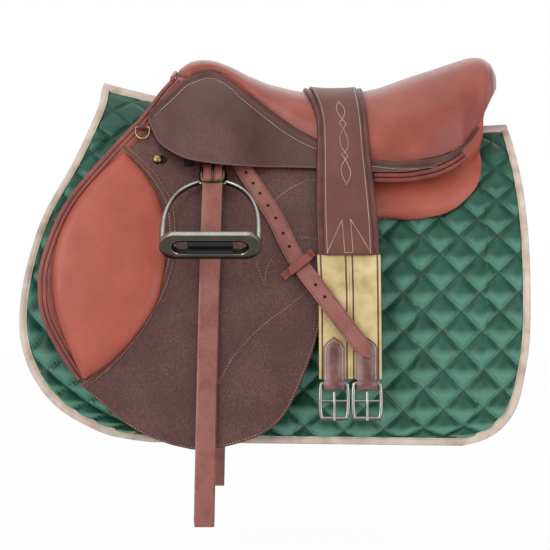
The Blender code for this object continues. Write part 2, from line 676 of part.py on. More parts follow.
    reach = IRON_TREAD_WIDTH / 2 + IRON_WIRE / 2
    bend = 95 * MM
    arch = []
    for k in range(17):
        a = math.pi * k / 16 - math.pi / 2
        drop = bend * (1 - max(0.0, math.cos(a)) ** 0.9)
        arch.append(at(reach * math.copysign(abs(math.sin(a)) ** 0.9, a), SLOT_FRONT + drop))
    arch = [at(-reach, SLOT_FRONT + IRON_HEIGHT)] + arch + [at(reach, SLOT_FRONT + IRON_HEIGHT)]
    bm = bmesh.new()
    tube_along(bm, arch, out, 9 * MM, IRON_WIRE * 0.75, 8)
    iron = place(f"stirrup_iron_{word}", bm, "steel", pivot)

    bm = bmesh.new()
    eye = [at(-EYE_HALF, SLOT_FRONT + 2 * MM), at(-EYE_HALF, -SLOT_BACK + 2 * MM),
           at(-EYE_HALF + 2 * MM, -SLOT_BACK), at(EYE_HALF - 2 * MM, -SLOT_BACK),
           at(EYE_HALF, -SLOT_BACK + 2 * MM), at(EYE_HALF, SLOT_FRONT + 2 * MM)]
    tube_along(bm, eye, out, EYE_WIRE, EYE_WIRE, 8)
    cut(iron, place(f"iron_eye_{word}", bm, "steel"), "UNION")

    def stadium(name, half_x, half_n, low, high, finish):
        bm = bmesh.new()
        rings = []
        for s in (low, high):
            ring = []
            for k in range(20):
                a = 2 * math.pi * (k + 0.5) / 20
                ring.append(at((half_x - half_n) * (1 if math.cos(a) > 0 else -1)
                               + half_n * math.cos(a), s, half_n * math.sin(a)))
            rings.append(ring)
        add_tube(bm, rings)
        return place(name, bm, finish)

    base = SLOT_FRONT + IRON_HEIGHT
    cut(iron, stadium(f"tread_frame_{word}", reach + 4 * MM, TREAD_DEPTH / 2, base - TREAD_HEIGHT / 2,
                      base + TREAD_HEIGHT / 2, "steel"), "UNION")
    slot_half = TREAD_DEPTH / 2 - 11 * MM
    cut(iron, stadium(f"tread_slot_{word}", reach - 14 * MM, slot_half, base - TREAD_HEIGHT,
                      base + TREAD_HEIGHT, "steel"))
    rubber_half = 30 * MM
    bm = bmesh.new()
    profile = [(-slot_half + GAP, 5.6), (-slot_half + GAP, -5.4), (-slot_half - 6 * MM, -5.4),
               (-slot_half - 6 * MM, -8), (slot_half + 6 * MM, -8), (slot_half + 6 * MM, -5.4),
               (slot_half - GAP, -5.4), (slot_half - GAP, 5.6), (4 * MM, 5.6), (4 * MM, -1),
               (-4 * MM, -1), (-4 * MM, 5.6)]
    add_tube(bm, [[at(x, base + s * MM, n) for n, s in profile] for x in (-rubber_half, rubber_half)])
    place(f"tread_rubber_{word}", bm, "rubber", pivot)


TAIL_POINTS = [(-50, -58), (-38, -78), (-18, -108), (2, -140), (20, -178), (35, -202), (47, -219),
               (58, -233), (75, -256), (92, -279), (110, -302), (122, -318), (128, -326)]


def tail_and_keeper(word, side):
    """Free end of the stirrup leather, through its keeper and over the girth."""
    over_girth = SKIRT_OUT + 0.8 * MM + GIRTH_THICKNESS + OVERLAY_THICKNESS + 3 * GAP
    centres = []
    for x, z in TAIL_POINTS:
        rise = smooth(34, 52, x) * (over_girth - STRAP_IN + 0.5 * MM)
        centres.append((x * MM, z * MM, STRAP_IN + 0.5 * MM + STRAP_THICKNESS / 2 + rise))
    path = layer_path(centres, side)
    widths = [24 * MM] * (len(path) - 2) + [16 * MM, 5 * MM]
    bm = bmesh.new()
    strap(bm, path, side, 0, STRAP_THICKNESS, widths=widths)
    place(f"leather_tail_{word}", bm, "strap")

    x0, z0 = 31 * MM, -201.5 * MM
    across = Vector((0.78, 0.627))
    bm = bmesh.new()
    points = []
    rise = STRAP_THICKNESS + 5.6 * MM
    for s, d in ((-27, 1.6), (-16.5, 1.6), (-13, rise / MM), (3, rise / MM), (19, rise / MM),
                 (22.5, 1.6), (27, 1.6)):
        points.append((x0 + across.x * s * MM, z0 + across.y * s * MM, STRAP_IN + d * MM))
    strap(bm, layer_path(points, side), side, 11 * MM, 2.2 * MM)
    place(f"keeper_{word}", bm, "dark")


DEE_AT = (-183 * MM, -11 * MM)


def dee_and_stud(word, side):
    """Pale brass ring in its leather loop, and the brass stud on the flap."""
    lay = STRAP_IN + 3.6 * MM
    hinge = layer_path([(*DEE_AT, lay)], side)[0]
    low = layer_path([(DEE_AT[0], DEE_AT[1] - 20 * MM, lay)], side)[0]
    down = (low - hinge).normalized()
    half = DEE_WIDTH / 2
    outline = [(-half, 0), (0, 0), (half, 0)]
    outline += [(half * math.cos(a), 6 * MM + 12 * MM * math.sin(a))
                for a in (math.pi * k / 8 for k in range(9))]
    bm = bmesh.new()
    tube_along(bm, [hinge + Vector((x, 0, 0)) + down * s for x, s in outline],
               down.cross(Vector((1, 0, 0))), DEE_WIRE, DEE_WIRE, 6, closed=True)
    place(f"dee_ring_{word}", bm, "brass", hinge)
    bm = bmesh.new()
    radius = DEE_WIRE / 2 + GAP + 0.9 * MM
    turn = [2 * math.pi * k / 8 for k in range(8)]
    loop = [hinge + Vector((0, radius * math.cos(a), radius * math.sin(a))) for a in turn]
    strap(bm, loop, side, 10 * MM, 1.4 * MM, closed=True)
    place(f"dee_loop_{word}", bm, "dark")

    centre = layer_path([(-161.5 * MM, -56 * MM, STRAP_IN)], side)[0]
    ahead = facing(centre, side)
    bm = bmesh.new()
    rings = [ring_at(centre + ahead * h * MM, ahead, (1, 0, 0), 2 * r * MM, 2 * r * MM, 12)
             for h, r in ((-0.4, 6), (1.2, 6.6), (2.6, 5.8), (3.8, 3.4), (4.2, 1))]
    add_tube(bm, rings)
    place(f"flap_stud_{word}", bm, "brass")


GIRTH_TOP_X = 82 * MM
# Height, middle and width of the shaped girth on the saddle's side
GIRTH_SHAPE = [(-240, 101, 82), (-190, 100, 84), (-138, 98.5, 84), (-95, 97, 80), (-55, 96, 75.5),
               (-6, 94, 71), (20, 89, 76), (50, 82, 85)]
GIRTH_END = -190 * MM
ELASTIC_END = -345 * MM
STRAP_DROP = 400 * MM


def girth_shape(z):
    """Middle and width of the girth at a height: it narrows where it turns down off the seat."""
    rows = [[v * MM for v in row] for row in GIRTH_SHAPE]
    z = min(max(z, rows[0][0]), rows[-1][0])
    for low, high in zip(rows, rows[1:]):
        if z <= high[0]:
            u = (z - low[0]) / (high[0] - low[0])
            return [a + (b - a) * u for a, b in zip(low[1:], high[1:])]


def over_saddle(x, q, side):
    """Section of the saddle at x: q from 0 over the seat to 1 at its seam, and on down its side."""
    if q <= 1:
        p = seat_point(x, side * max(q, 1e-4))
        return Vector((x, p.y, p.z))
    level = min(1.0, (q - 1) / 0.3)
    seam = seat_at(x)[1] * (1 - level) + seat_at(GIRTH_TOP_X)[1] * level
    z = seam - (q - 1) * STRAP_DROP
    return Vector((x, side * half_width(x, z, SEAT_EDGE + 0.8 * MM), z))


def girth_point(across, q, side, height):
    """Point of the girth: across its width, along it, and its height over the saddle."""
    z = over_saddle(GIRTH_TOP_X, q, side).z
    middle, width = girth_shape(z)
    x = middle + across * width / GIRTH_WIDTH
    a, b = over_saddle(x, q - 0.02, side), over_saddle(x, q + 0.02, side)
    if q < 0.02:
        a, b = over_saddle(x, 0.02, -side), over_saddle(x, 0.02, side)
    along = (b - a).normalized()
    normal = Vector((0, abs(along.z) * side, abs(along.y)))
    return over_saddle(x, q, side) + normal * height


def q_at(z):
    """Place along the girth for a height on the saddle's side."""
    return 1 + (seat_at(GIRTH_TOP_X)[1] - z) / STRAP_DROP


def girth_band(bm, qs, side, width, low, high, offset=0.0, cols=4):
    outer, inner = [], []
    for q in qs:
        row = [offset + width * (k / (cols - 1) - 0.5) for k in range(cols)]
        s = side if q >= 0 else -side
        outer.append([girth_point(a, abs(q), s, high) for a in row])
        inner.append([girth_point(a, abs(q), s, low) for a in row])
    add_slab(bm, outer, inner)


def girth():
    """Girth laid over the seat; both its ends hang down the sides."""
    end = q_at(GIRTH_END)
    low, high = SEAM_GAP, SEAM_GAP + GIRTH_THICKNESS
    dome = [k / 7 for k in range(1, 7)] + [1.04, 1.12, 1.22, 1.32, end]
    bm = bmesh.new()
    girth_band(bm, [-q for q in reversed(dome)] + [0.0] + dome, 1, GIRTH_WIDTH, low, high, cols=5)
    place("girth_body", bm, "strap")
    bm = bmesh.new()
    girth_band(bm, [-q for q in reversed(dome)] + [0.0] + dome, 1, OVERLAY_WIDTH, high + LEATHER_GAP,
               high + LEATHER_GAP + OVERLAY_THICKNESS, cols=5)
    place("girth_overlay", bm, "girth")
    for word, side in SIDES:
        for number, offset in ((1, -22 * MM), (2, 22 * MM)):
            elastic = bmesh.new()
            chape = bmesh.new()
            qs = [q_at(GIRTH_END - 0.5 * MM - (GIRTH_END - ELASTIC_END + 9 * MM) * k / 4) for k in range(5)]
            girth_band(elastic, qs, side, ELASTIC_WIDTH, low + 1 * MM, low + 3 * MM, offset, cols=2)
            qs = [q_at(ELASTIC_END + z * MM) for z in (46, 38, 20, 0, -13.2)]
            outer, inner = [], []
            for q, share in zip(qs, (0.12, 1, 1, 1, 1)):
                row = [offset + CHAPE_WIDTH * share * (k / 2 - 0.5) for k in range(3)]
                outer.append([girth_point(a, q, side, low + 3 * MM + GAP + 3 * MM) for a in row])
                inner.append([girth_point(a, q, side, low + 3 * MM + GAP) for a in row])
            add_slab(chape, outer, inner)
            place(f"girth_elastic_{word}_{number}", elastic, "elastic")
            place(f"girth_chape_{word}_{number}", chape, "girth")
            girth_buckle(f"{word}_{number}", side, offset, low + 3 * MM + GAP + 1.5 * MM)


def girth_buckle(word, side, offset, height):
    """Roller buckle below a chape, with its tongue; both turn on the top bar."""
    drop = -16 * MM
    hinge = girth_point(offset, q_at(ELASTIC_END + drop), side, height)
    lower = girth_point(offset, q_at(ELASTIC_END + drop - BUCKLE_HEIGHT), side, height)
    down = (lower - hinge).normalized()
    half = 17.5 * MM
    tall = BUCKLE_HEIGHT
    outline = [(-half, 0), (half, 0), (half + 1 * MM, tall * 0.5), (half, tall), (-half, tall),
               (-half - 1 * MM, tall * 0.5)]
    across = Vector((1, 0, 0))
    out = across.cross(down) * side
    bm = bmesh.new()
    tube_along(bm, [hinge + across * x + down * s for x, s in outline], out, BUCKLE_WIRE,
               BUCKLE_WIRE, 6, closed=True)
    frame = place(f"girth_buckle_{word}", bm, "steel", hinge)
    bm = bmesh.new()
    middle = tall * 0.5
    tube_along(bm, [hinge + across * x + down * middle for x in (-half, half)], out,
               BUCKLE_WIRE * 0.9, BUCKLE_WIRE * 0.9, 6)
    cut(frame, place(f"buckle_bar_{word}", bm, "steel"), "UNION")

    centre = hinge + down * middle
    bm = bmesh.new()
    ring = BUCKLE_WIRE / 2 + GAP + 1.0 * MM
    turn = [math.radians(a) for a in range(0, 360, 45)]
    loop = [centre + out * (ring * math.cos(a)) - down * (ring * math.sin(a)) for a in turn]
    strap(bm, loop, side, 3.4 * MM, 1.4 * MM, closed=True)
    tongue = place(f"buckle_tongue_{word}", bm, "steel", centre)
    bm = bmesh.new()
    tip = tall * 0.5 + 1.5 * MM
    rise = BUCKLE_WIRE / 2 + 1.7 * MM
    points = [centre + out * (ring * 0.9), centre + out * rise + down * (tip * 0.5),
              centre + out * (rise + 0.2 * MM) + down * tip]
    tube_along(bm, points, across, 3.2 * MM, 2 * MM, 6)
    cut(tongue, place(f"tongue_tip_{word}", bm, "steel"), "UNION")


def billets(word, side):
    """Two girth straps on one web, between the sweat flap and the flap."""
    layer = BILLET_IN + BILLET_THICKNESS / 2
    straps = []
    for number, x in ((1, 40 * MM), (2, 74 * MM)):
        bm = bmesh.new()
        path = layer_path([(x + (6 * MM) * k / 5, (-66 - 34 * k) * MM, layer) for k in range(6)], side)
        strap(bm, path, side, BILLET_WIDTH, BILLET_THICKNESS - 4 * GAP)
        straps.append(place(f"billet_{number}_{word}", bm, "strap"))
    bm = bmesh.new()
    web = layer_path([((27 + 10 * k) * MM, -72 * MM, layer) for k in range(7)], side)
    strap(bm, web, side, 16 * MM, BILLET_THICKNESS - 5 * GAP)
    billet_web = place(f"girth_billets_{word}", bm, "strap")
    for piece in straps:
        cut(billet_web, piece, "UNION")


def main():
    for old in list(bpy.data.objects):
        bpy.data.objects.remove(old)
    saddle_pad()
    pad_binding()
    tree_and_seat()
    for word, side in SIDES:
        panel(word, side)
        side_leathers(word, side)
        billets(word, side)
        stirrup(word, side)
        tail_and_keeper(word, side)
        dee_and_stud(word, side)
    girth()


main()
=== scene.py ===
"""Looks of a jumping saddle on its quilted pad, with run-up stirrups and a girth over the seat.

Sizes are in millimetres until a mesh is made. The horse faces -X, the near side is -Y.
"""

import json
import logging
import math
from dataclasses import dataclass
from enum import Enum
from typing import Callable, Sequence

import bmesh
import bpy
import numpy as np
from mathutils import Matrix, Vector

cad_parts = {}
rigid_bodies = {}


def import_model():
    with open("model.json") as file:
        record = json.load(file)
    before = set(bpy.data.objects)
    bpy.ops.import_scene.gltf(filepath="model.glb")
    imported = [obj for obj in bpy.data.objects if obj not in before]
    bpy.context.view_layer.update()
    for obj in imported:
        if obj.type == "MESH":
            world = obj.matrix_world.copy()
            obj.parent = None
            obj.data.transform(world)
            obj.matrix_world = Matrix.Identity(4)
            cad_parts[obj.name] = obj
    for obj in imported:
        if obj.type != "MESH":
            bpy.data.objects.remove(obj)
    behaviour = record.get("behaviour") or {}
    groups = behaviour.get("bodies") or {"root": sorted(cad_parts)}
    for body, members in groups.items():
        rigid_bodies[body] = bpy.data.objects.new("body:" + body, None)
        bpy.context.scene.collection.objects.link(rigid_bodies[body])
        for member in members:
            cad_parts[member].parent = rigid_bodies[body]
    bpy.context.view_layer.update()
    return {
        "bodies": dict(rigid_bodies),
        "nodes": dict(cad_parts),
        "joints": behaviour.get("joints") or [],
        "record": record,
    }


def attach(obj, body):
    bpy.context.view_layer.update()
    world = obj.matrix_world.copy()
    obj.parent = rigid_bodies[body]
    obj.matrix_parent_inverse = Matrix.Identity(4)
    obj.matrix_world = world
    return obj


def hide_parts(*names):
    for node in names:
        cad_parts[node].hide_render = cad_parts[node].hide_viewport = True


MM = 0.001
LOG = logging.getLogger("saddle")
Array = np.ndarray
Points = Sequence[tuple[float, ...]]
Shell = tuple[Array, list]
ALONG, UPRIGHT = np.array([1.0, 0.0, 0.0]), np.array([0.0, 0.0, 1.0])


class Side(Enum):
    """The two sides of the saddle."""

    NEAR = "left"
    OFF = "right"

    @property
    def sign(self) -> int:
        """Direction of the side along Y."""
        return -1 if self is Side.NEAR else 1


# Shape of the horse's back and of the layers on it


BARREL_HALF_WIDTH, BARREL_DEPTH, BARREL_SQUARENESS = 175.0, 520.0, 2.5
CLOTH_OUT = 12.0
PANEL_IN = 13.2
TREE_IN, TREE_OUT = 35.9, 41.9
FLAP_IN, FLAP_OUT = 47.7, 51.7
STRAP_IN = 52.6
SKIRT_IN, SKIRT_OUT = 53.5, 57.0


def smooth(low: float, high: float, x: Array) -> Array:
    """0 below low, 1 above high, eased between."""
    t = np.clip((np.asarray(x, float) - low) / (high - low), 0, 1)
    return t * t * (3 - 2 * t)


def spine(x: Array) -> Array:
    """Height of the horse's back along its middle."""
    return 0.0003 * x * x - 0.13 * x


def lift(x: Array) -> Array:
    """How much higher the saddle's head stands over the withers."""
    return 22.0 * (1 - smooth(-80, 40, x))


def half_width(x: Array, z: Array, d: Array, raised: bool = True) -> Array:
    """Half width of a layer of the saddle.

    Args:
        x: place along the horse.
        z: height.
        d: how far outside the horse the layer lies.
        raised: whether the layer is lifted over the withers.

    Returns:
        The distance from the middle plane.
    """
    up = lift(x) if raised else 0.0
    depth = BARREL_DEPTH + up
    level = np.clip((z - spine(x) - up + depth) / (depth + d), 0, 1)
    return (BARREL_HALF_WIDTH + d) * np.sqrt(np.maximum(0, 1 - level**BARREL_SQUARENESS))


def height_at(x: Array, w: Array, d: Array) -> Array:
    """Height of a raised layer at a distance from the middle plane."""
    level = np.maximum(0, 1 - (np.abs(w) / (BARREL_HALF_WIDTH + d))**2)**(1 / BARREL_SQUARENESS)
    return level * (BARREL_DEPTH + lift(x) + d) - BARREL_DEPTH + spine(x)


def cubic(p0: Array, p1: Array, p2: Array, p3: Array, u: Array) -> Array:
    """Points between the second and third of four, on a smooth curve through all of them."""
    return 0.5 * (2 * p1 + (p2 - p0) * u + (2 * p0 - 5 * p1 + 4 * p2 - p3) * u**2
                  + (3 * p1 - p0 - 3 * p2 + p3) * u**3)


def catmull(points: Points, shares: Array) -> Array:
    """Points of a smooth curve through the given ones, at shares of its length."""
    p = np.asarray(points, float)
    steps = np.linalg.norm(np.diff(p, axis=0), axis=1)
    reach = np.concatenate([[0], np.cumsum(steps)])
    goal = np.asarray(shares, float) * reach[-1]
    i = np.clip(np.searchsorted(reach, goal, side="right") - 1, 0, len(p) - 2)
    u = np.clip((goal - reach[i]) / steps[i], 0, 1)[..., None]
    p = np.vstack([2 * p[0] - p[1], p, 2 * p[-1] - p[-2]])
    return cubic(p[i], p[i + 1], p[i + 2], p[i + 3], u)


def curve(points: Points, step: float = 2.0) -> Array:
    """A smooth line through the points, one point each step."""
    p = np.asarray(points, float)
    length = np.linalg.norm(np.diff(p, axis=0), axis=1).sum()
    return catmull(p, np.linspace(0, 1, max(3, int(length / step))))


def closed_curve(points: Points, per: int = 5) -> Array:
    """A smooth closed line through the points, with the same number of steps between each two."""
    p = np.asarray(points, float)[:, None]
    share = (np.arange(per) / per)[None, :, None]
    return cubic(*(np.roll(p, k, 0) for k in (1, 0, -1, -2)), share).reshape(-1, p.shape[-1])


def distance_to(points: Array, line: Array) -> Array:
    """Shortest distance from each point of the plane to a line of straight pieces."""
    flat = points.reshape(-1, 2)
    a, b = line[:-1], line[1:]
    ab = b - a
    square = np.maximum((ab**2).sum(1), 1e-12)
    out = np.empty(len(flat))
    for k in range(0, len(flat), 4000):
        p = flat[k:k + 4000, None, :]
        t = np.clip(((p - a) * ab).sum(2) / square, 0, 1)
        out[k:k + 4000] = np.sqrt((((a + ab * t[..., None]) - p)**2).sum(2).min(1))
    return out.reshape(points.shape[:-1])


def rounded(edge: Array, radius: float) -> Array:
    """0 at the edge and 1 from the radius inwards, like a quarter circle."""
    s = np.clip(edge / radius, 0, 1)
    return np.sqrt(np.maximum(0, 1 - (1 - s)**2))


def groove(distance: Array, width: float) -> Array:
    """1 on a line, fading to 0 about a width away."""
    return np.exp(-(distance / width)**2)


def dense_ends(count: int, much: float = 0.8) -> Array:
    """Shares from 0 to 1 that lie closer near both ends."""
    t = np.linspace(0, 1, count)
    return t - much * np.sin(2 * math.pi * t) / (2 * math.pi)


def wrap(plan: Array, d: Array, side: Side, raised: bool = True) -> Array:
    """Puts points of the side view (x, z) on a layer of one side."""
    x, z = plan[..., 0], plan[..., 1]
    return np.stack([x, side.sign * half_width(x, z, d, raised), z], -1)


def facing(points: Array, side: Side) -> Array:
    """Directions that the saddle's side looks to at points on it."""
    x, z = points[..., 0], points[..., 2]
    sx = half_width(x + 1, z, FLAP_OUT) - half_width(x - 1, z, FLAP_OUT)
    sz = half_width(x, z + 1, FLAP_OUT) - half_width(x, z - 1, FLAP_OUT)
    n = np.stack([-sx, np.full_like(x, side.sign * 2.0), -sz], -1)
    return n / np.linalg.norm(n, axis=-1, keepdims=True)


def inward(path: Array) -> Array:
    """Directions square to a line of the side view, to its left as X runs right."""
    ahead = tangents(path)
    return np.stack([-ahead[:, 1], ahead[:, 0]], -1)


def mirrored(half: Array) -> Array:
    """A line that ends on the middle plane, joined to its mirror image."""
    return np.concatenate([half * np.array([1, -1, 1]), half[-2::-1]])


def rim(grid: Array) -> Array:
    """The edge of a grid, once round."""
    return np.concatenate([grid[0], grid[1:, -1], grid[-1, -2::-1], grid[-2:0:-1, 0]])


def turns(count: int) -> Array:
    """Angles once round a circle."""
    return np.linspace(0, 2 * math.pi, count + 1)[:-1]


# Meshes


def new_object(name: str, data: bpy.types.ID | None) -> bpy.types.Object:
    """A new object of the scene."""
    obj = bpy.data.objects.new(name, data)
    bpy.context.scene.collection.objects.link(obj)
    return obj


def to_object(name: str, verts: Array, faces: list, finish: bpy.types.Material,
              marks: dict[str, Array] | None = None, sharp: float = 40.0) -> bpy.types.Object:
    """Makes a mesh object of points in millimetres, with its faces turned outwards.

    Args:
        name: name of the object.
        verts: its points.
        faces: lists of point numbers.
        finish: its material.
        marks: numbers for its points, by name; a row that is too short is repeated.
        sharp: angle past which an edge stays sharp, in degrees.

    Returns:
        The object, at the origin.
    """
    mesh = bpy.data.meshes.new(name)
    mesh.from_pydata((np.asarray(verts) * MM).tolist(), [], [list(f) for f in faces])
    for key, values in (marks or {}).items():
        store = mesh.attributes.new(key, "FLOAT", "POINT")
        store.data.foreach_set("value", np.resize(values, len(verts)).astype(float))
    bm = bmesh.new()
    bm.from_mesh(mesh)
    bmesh.ops.recalc_face_normals(bm, faces=bm.faces)
    if bm.calc_volume(signed=True) < 0:
        bmesh.ops.reverse_faces(bm, faces=bm.faces)
    bm.to_mesh(mesh)
    bm.free()
    mesh.shade_smooth()
    mesh.set_sharp_from_angle(angle=math.radians(sharp))
    mesh.materials.append(finish)
    return new_object(name, mesh)


def slab(outer: Array, inner: Array) -> Shell:
    """A closed shell between two grids of points."""
    rows, cols = outer.shape[:2]
    n = rows * cols
    index = np.arange(n).reshape(rows, cols)
    a, b, c, d = index[:-1, :-1], index[:-1, 1:], index[1:, 1:], index[1:, :-1]
    top, low = (np.stack(order, -1).reshape(-1, 4) for order in ((a, b, c, d), (a, d, c, b)))
    edge = rim(index)
    after = np.roll(edge, -1)
    faces = np.concatenate([top, low + n, np.stack([edge, edge + n, after + n, after], -1)])
    return np.concatenate([outer.reshape(-1, 3), inner.reshape(-1, 3)]), faces.tolist()


def sweep(rings: Array, closed: bool = False) -> Shell:
    """Points and faces of a tube through rings of points."""
    count, sides = rings.shape[:2]
    index = np.arange(count * sides).reshape(count, sides)
    nxt = np.roll(index, -1, 1)
    pairs = range(count if closed else count - 1)
    faces: list = []
    for k in pairs:
        m = (k + 1) % count
        faces += np.stack([index[k], nxt[k], nxt[m], index[m]], -1).tolist()
    if not closed:
        faces += [index[0].tolist(), index[-1][::-1].tolist()]
    return rings.reshape(-1, 3), faces


def joined(parts: Sequence[Shell]) -> Shell:
    """Several shells as one set of points and faces."""
    verts, faces, start = [], [], 0
    for v, f in parts:
        verts.append(v)
        faces += [[i + start for i in face] for face in f]
        start += len(v)
    return np.concatenate(verts), faces


def unit(v: Array) -> Array:
    """Vectors of length 1."""
    return v / np.maximum(np.linalg.norm(v, axis=-1, keepdims=True), 1e-9)


def tangents(path: Array, closed: bool = False) -> Array:
    """Directions along a path."""
    if closed:
        return unit(np.roll(path, -1, 0) - np.roll(path, 1, 0))
    return unit(np.gradient(path, axis=0))


def band(path: Array, face: Array, wide: Array, thick: float, closed: bool = False,
         corner: float = 1.0, crown: float = 0.0) -> Shell:
    """A flat strap along a path.

    Args:
        path: its middle line.
        face: the way its broad side looks, for each point.
        wide: its width, for each point or for all.
        thick: its thickness.
        closed: whether it closes on itself.
        corner: radius of its edges.
        crown: how much its middle stands up.

    Returns:
        Points and faces.
    """
    ahead = tangents(path, closed)
    across = unit(np.cross(ahead, face))
    up = np.cross(across, ahead)
    half = np.broadcast_to(np.asarray(wide, float) / 2, len(path))[:, None, None]
    t, r = thick / 2, min(corner, thick / 2)
    profile = [(1, -r, -t, 0), (1, 0, -t + r, 0), (1, 0, t - r, 0), (1, -r * 0.3, t - r * 0.3, 0),
               (1, -r, t, 0), (1, -r * 2.5, t, crown * 0.5), (0.45, 0, t, crown), (-0.45, 0, t, crown),
               (-1, r * 2.5, t, crown * 0.5), (-1, r, t, 0), (-1, r * 0.3, t - r * 0.3, 0), (-1, 0, t - r, 0),
               (-1, 0, -t + r, 0), (-1, r, -t, 0)]
    rings = [path + across * (a * half[:, 0] + b) + up * (c + e) for a, b, c, e in profile]
    return sweep(np.stack(rings, 1), closed)


def rod(path: Array, flat: Array, wide: Array, thick: Array, closed: bool = False, sides: int = 14) -> Shell:
    """An oval bar along a path, wide along the flat way; its sizes may change along it."""
    ahead = tangents(path, closed)
    flat = np.broadcast_to(flat, path.shape)
    flat = unit(flat - ahead * (flat * ahead).sum(-1, keepdims=True))
    other = np.cross(ahead, flat)
    turn = 2 * math.pi * (np.arange(sides) + 0.5) / sides
    c, s = np.cos(turn)[None, :, None], np.sin(turn)[None, :, None]
    wide, thick = (np.broadcast_to(np.asarray(v, float), len(path))[:, None, None] for v in (wide, thick))
    rings = path[:, None] + flat[:, None] * wide / 2 * c + other[:, None] * thick / 2 * s
    return sweep(rings, closed)


# Finishes


def linear(hexa: str) -> tuple[float, float, float, float]:
    """A colour given as sRGB hex, as the shader's linear numbers."""
    values = [int(hexa[i:i + 2], 16) / 255 for i in (1, 3, 5)]
    values = [v / 12.92 if v <= 0.04045 else ((v + 0.055) / 1.055)**2.4 for v in values]
    return (*values, 1.0)


class Nodes:
    """Adds nodes to one tree."""

    def __init__(self, tree: bpy.types.NodeTree) -> None:
        """Keeps the tree to add to."""
        self.tree = tree

    def feed(self, node: bpy.types.Node, values: dict) -> bpy.types.Node:
        """Gives a node's inputs, by name or number, a value or another node's output."""
        for key, value in values.items():
            if isinstance(value, bpy.types.NodeSocket):
                self.tree.links.new(value, node.inputs[key])
            else:
                node.inputs[key].default_value = value
        return node

    def add(self, kind: str, values: dict | None = None, **settings: object) -> bpy.types.Node:
        """Adds a node.

        Args:
            kind: Blender's name of the node type.
            values: a value or another node's output for each input.
            settings: the node's own properties.

        Returns:
            The node.
        """
        node = self.tree.nodes.new(kind)
        for key, value in settings.items():
            setattr(node, key, value)
        return self.feed(node, values or {})

    def ramp(self, value: bpy.types.NodeSocket, stops: Sequence[tuple[float, str]]) -> bpy.types.NodeSocket:
        """Colours of a value, by stops of place and hex."""
        node = self.add("ShaderNodeValToRGB", {"Fac": value})
        elements = node.color_ramp.elements
        while len(elements) < len(stops):
            elements.new(0.5)
        for element, (place, hexa) in zip(elements, stops):
            element.position, element.color = place, linear(hexa)
        return node.outputs["Color"]

    def math(self, how: str, a: object, b: object = 0.0) -> bpy.types.NodeSocket:
        """Result of one sum."""
        return self.add("ShaderNodeMath", {0: a, 1: b}, operation=how).outputs[0]

    def mix(self, share: object, a: object, b: object, how: str = "MIX") -> bpy.types.NodeSocket:
        """Mix of two colours."""
        return self.add("ShaderNodeMix", {0: share, 6: a, 7: b}, data_type="RGBA", blend_type=how).outputs[2]

    def tint(self, tone: object, share: object, strength: float, hexa: str) -> bpy.types.NodeSocket:
        """A tone drawn towards a colour where a share is high."""
        return self.mix(self.math("MULTIPLY", share, strength), tone, linear(hexa))

    def mark(self, name: str) -> bpy.types.NodeSocket:
        """The mesh's own marks of a name."""
        return self.add("ShaderNodeAttribute", attribute_name=name).outputs["Fac"]

    def place(self, kind: str = "Object") -> bpy.types.NodeSocket:
        """Place or direction on the object."""
        return self.add("ShaderNodeTexCoord").outputs[kind]

    def noise(self, place: object, size_mm: float, detail: float,
              roughness: float = 0.5) -> bpy.types.NodeSocket:
        """Soft noise with blotches of a size."""
        return self.add("ShaderNodeTexNoise", {"Vector": place, "Scale": 1 / (size_mm * MM), "Detail": detail,
                                               "Roughness": roughness}).outputs["Fac"]

    def bump(self, height: object, strength: float, depth_mm: float, **more: object) -> bpy.types.NodeSocket:
        """Surface directions of a height."""
        return self.add("ShaderNodeBump", {"Height": height, "Strength": strength, "Distance": depth_mm * MM,
                                           **more}).outputs["Normal"]


def new_material(name: str) -> tuple[bpy.types.Material, Nodes, bpy.types.Node]:
    """A material, the tool that adds its nodes, and its shader."""
    material = bpy.data.materials.new(name)
    material.use_nodes = True
    return material, Nodes(material.node_tree), material.node_tree.nodes["Principled BSDF"]


@dataclass(frozen=True)
class Leather:
    """Cowhide: its colours, the size of its grain and how much it is waxed."""

    name: str
    dark: str
    base: str
    light: str
    grain_mm: float = 1.2
    grain_depth_mm: float = 0.12
    roughness: float = 0.42
    coat: float = 0.15
    mottle_mm: float = 38.0
    speckle: float = 0.35
    bloom: float = 0.0

    def material(self) -> bpy.types.Material:
        """Grain from cells, colour from soft blotches, and darker burnished edges."""
        material, n, shader = new_material(self.name)
        place = n.place()
        blotch = n.noise(place, self.mottle_mm, 3.0, 0.55)
        fine = n.noise(place, self.grain_mm * 2.2, 4.0, 0.6)
        pebble = n.add("ShaderNodeTexVoronoi", {"Vector": place, "Scale": 1 / (self.grain_mm * MM),
                                                "Randomness": 1.0}, feature="SMOOTH_F1").outputs["Distance"]
        mixed = n.math("ADD", n.math("MULTIPLY", blotch, 1 - self.speckle),
                       n.math("MULTIPLY", fine, self.speckle))
        tone = n.ramp(mixed, [(0.34, self.dark), (0.5, self.base), (0.66, self.light)])
        tone = n.tint(tone, pebble, 0.5, self.dark)
        tone = n.tint(tone, n.mark("burnish"), 0.75, self.dark)
        # Painted highlight: where this mark is set, the tone is drawn towards the light colour.
        tone = n.tint(tone, n.mark("polish"), 0.8, self.light)
        height = n.math("ADD", n.math("MULTIPLY", pebble, -1.0), n.math("MULTIPLY", fine, 0.5))
        bump = n.bump(height, 1.0, self.grain_depth_mm)
        rough = n.math("ADD", n.math("MULTIPLY", fine, 0.16), self.roughness - 0.08)
        n.feed(shader, {"Base Color": tone, "Roughness": rough, "Normal": bump, "Specular IOR Level": 0.45,
                        "Coat Weight": self.coat, "Coat Roughness": 0.35, "Sheen Weight": self.bloom,
                        "Sheen Roughness": 0.45})
        return material


class Laminate(Leather):
    """Birch veneers pressed to shape and varnished: pale, with fine flecks."""


class Foam(Leather):
    """Cut polyether foam: open cells, dull and yellowish."""


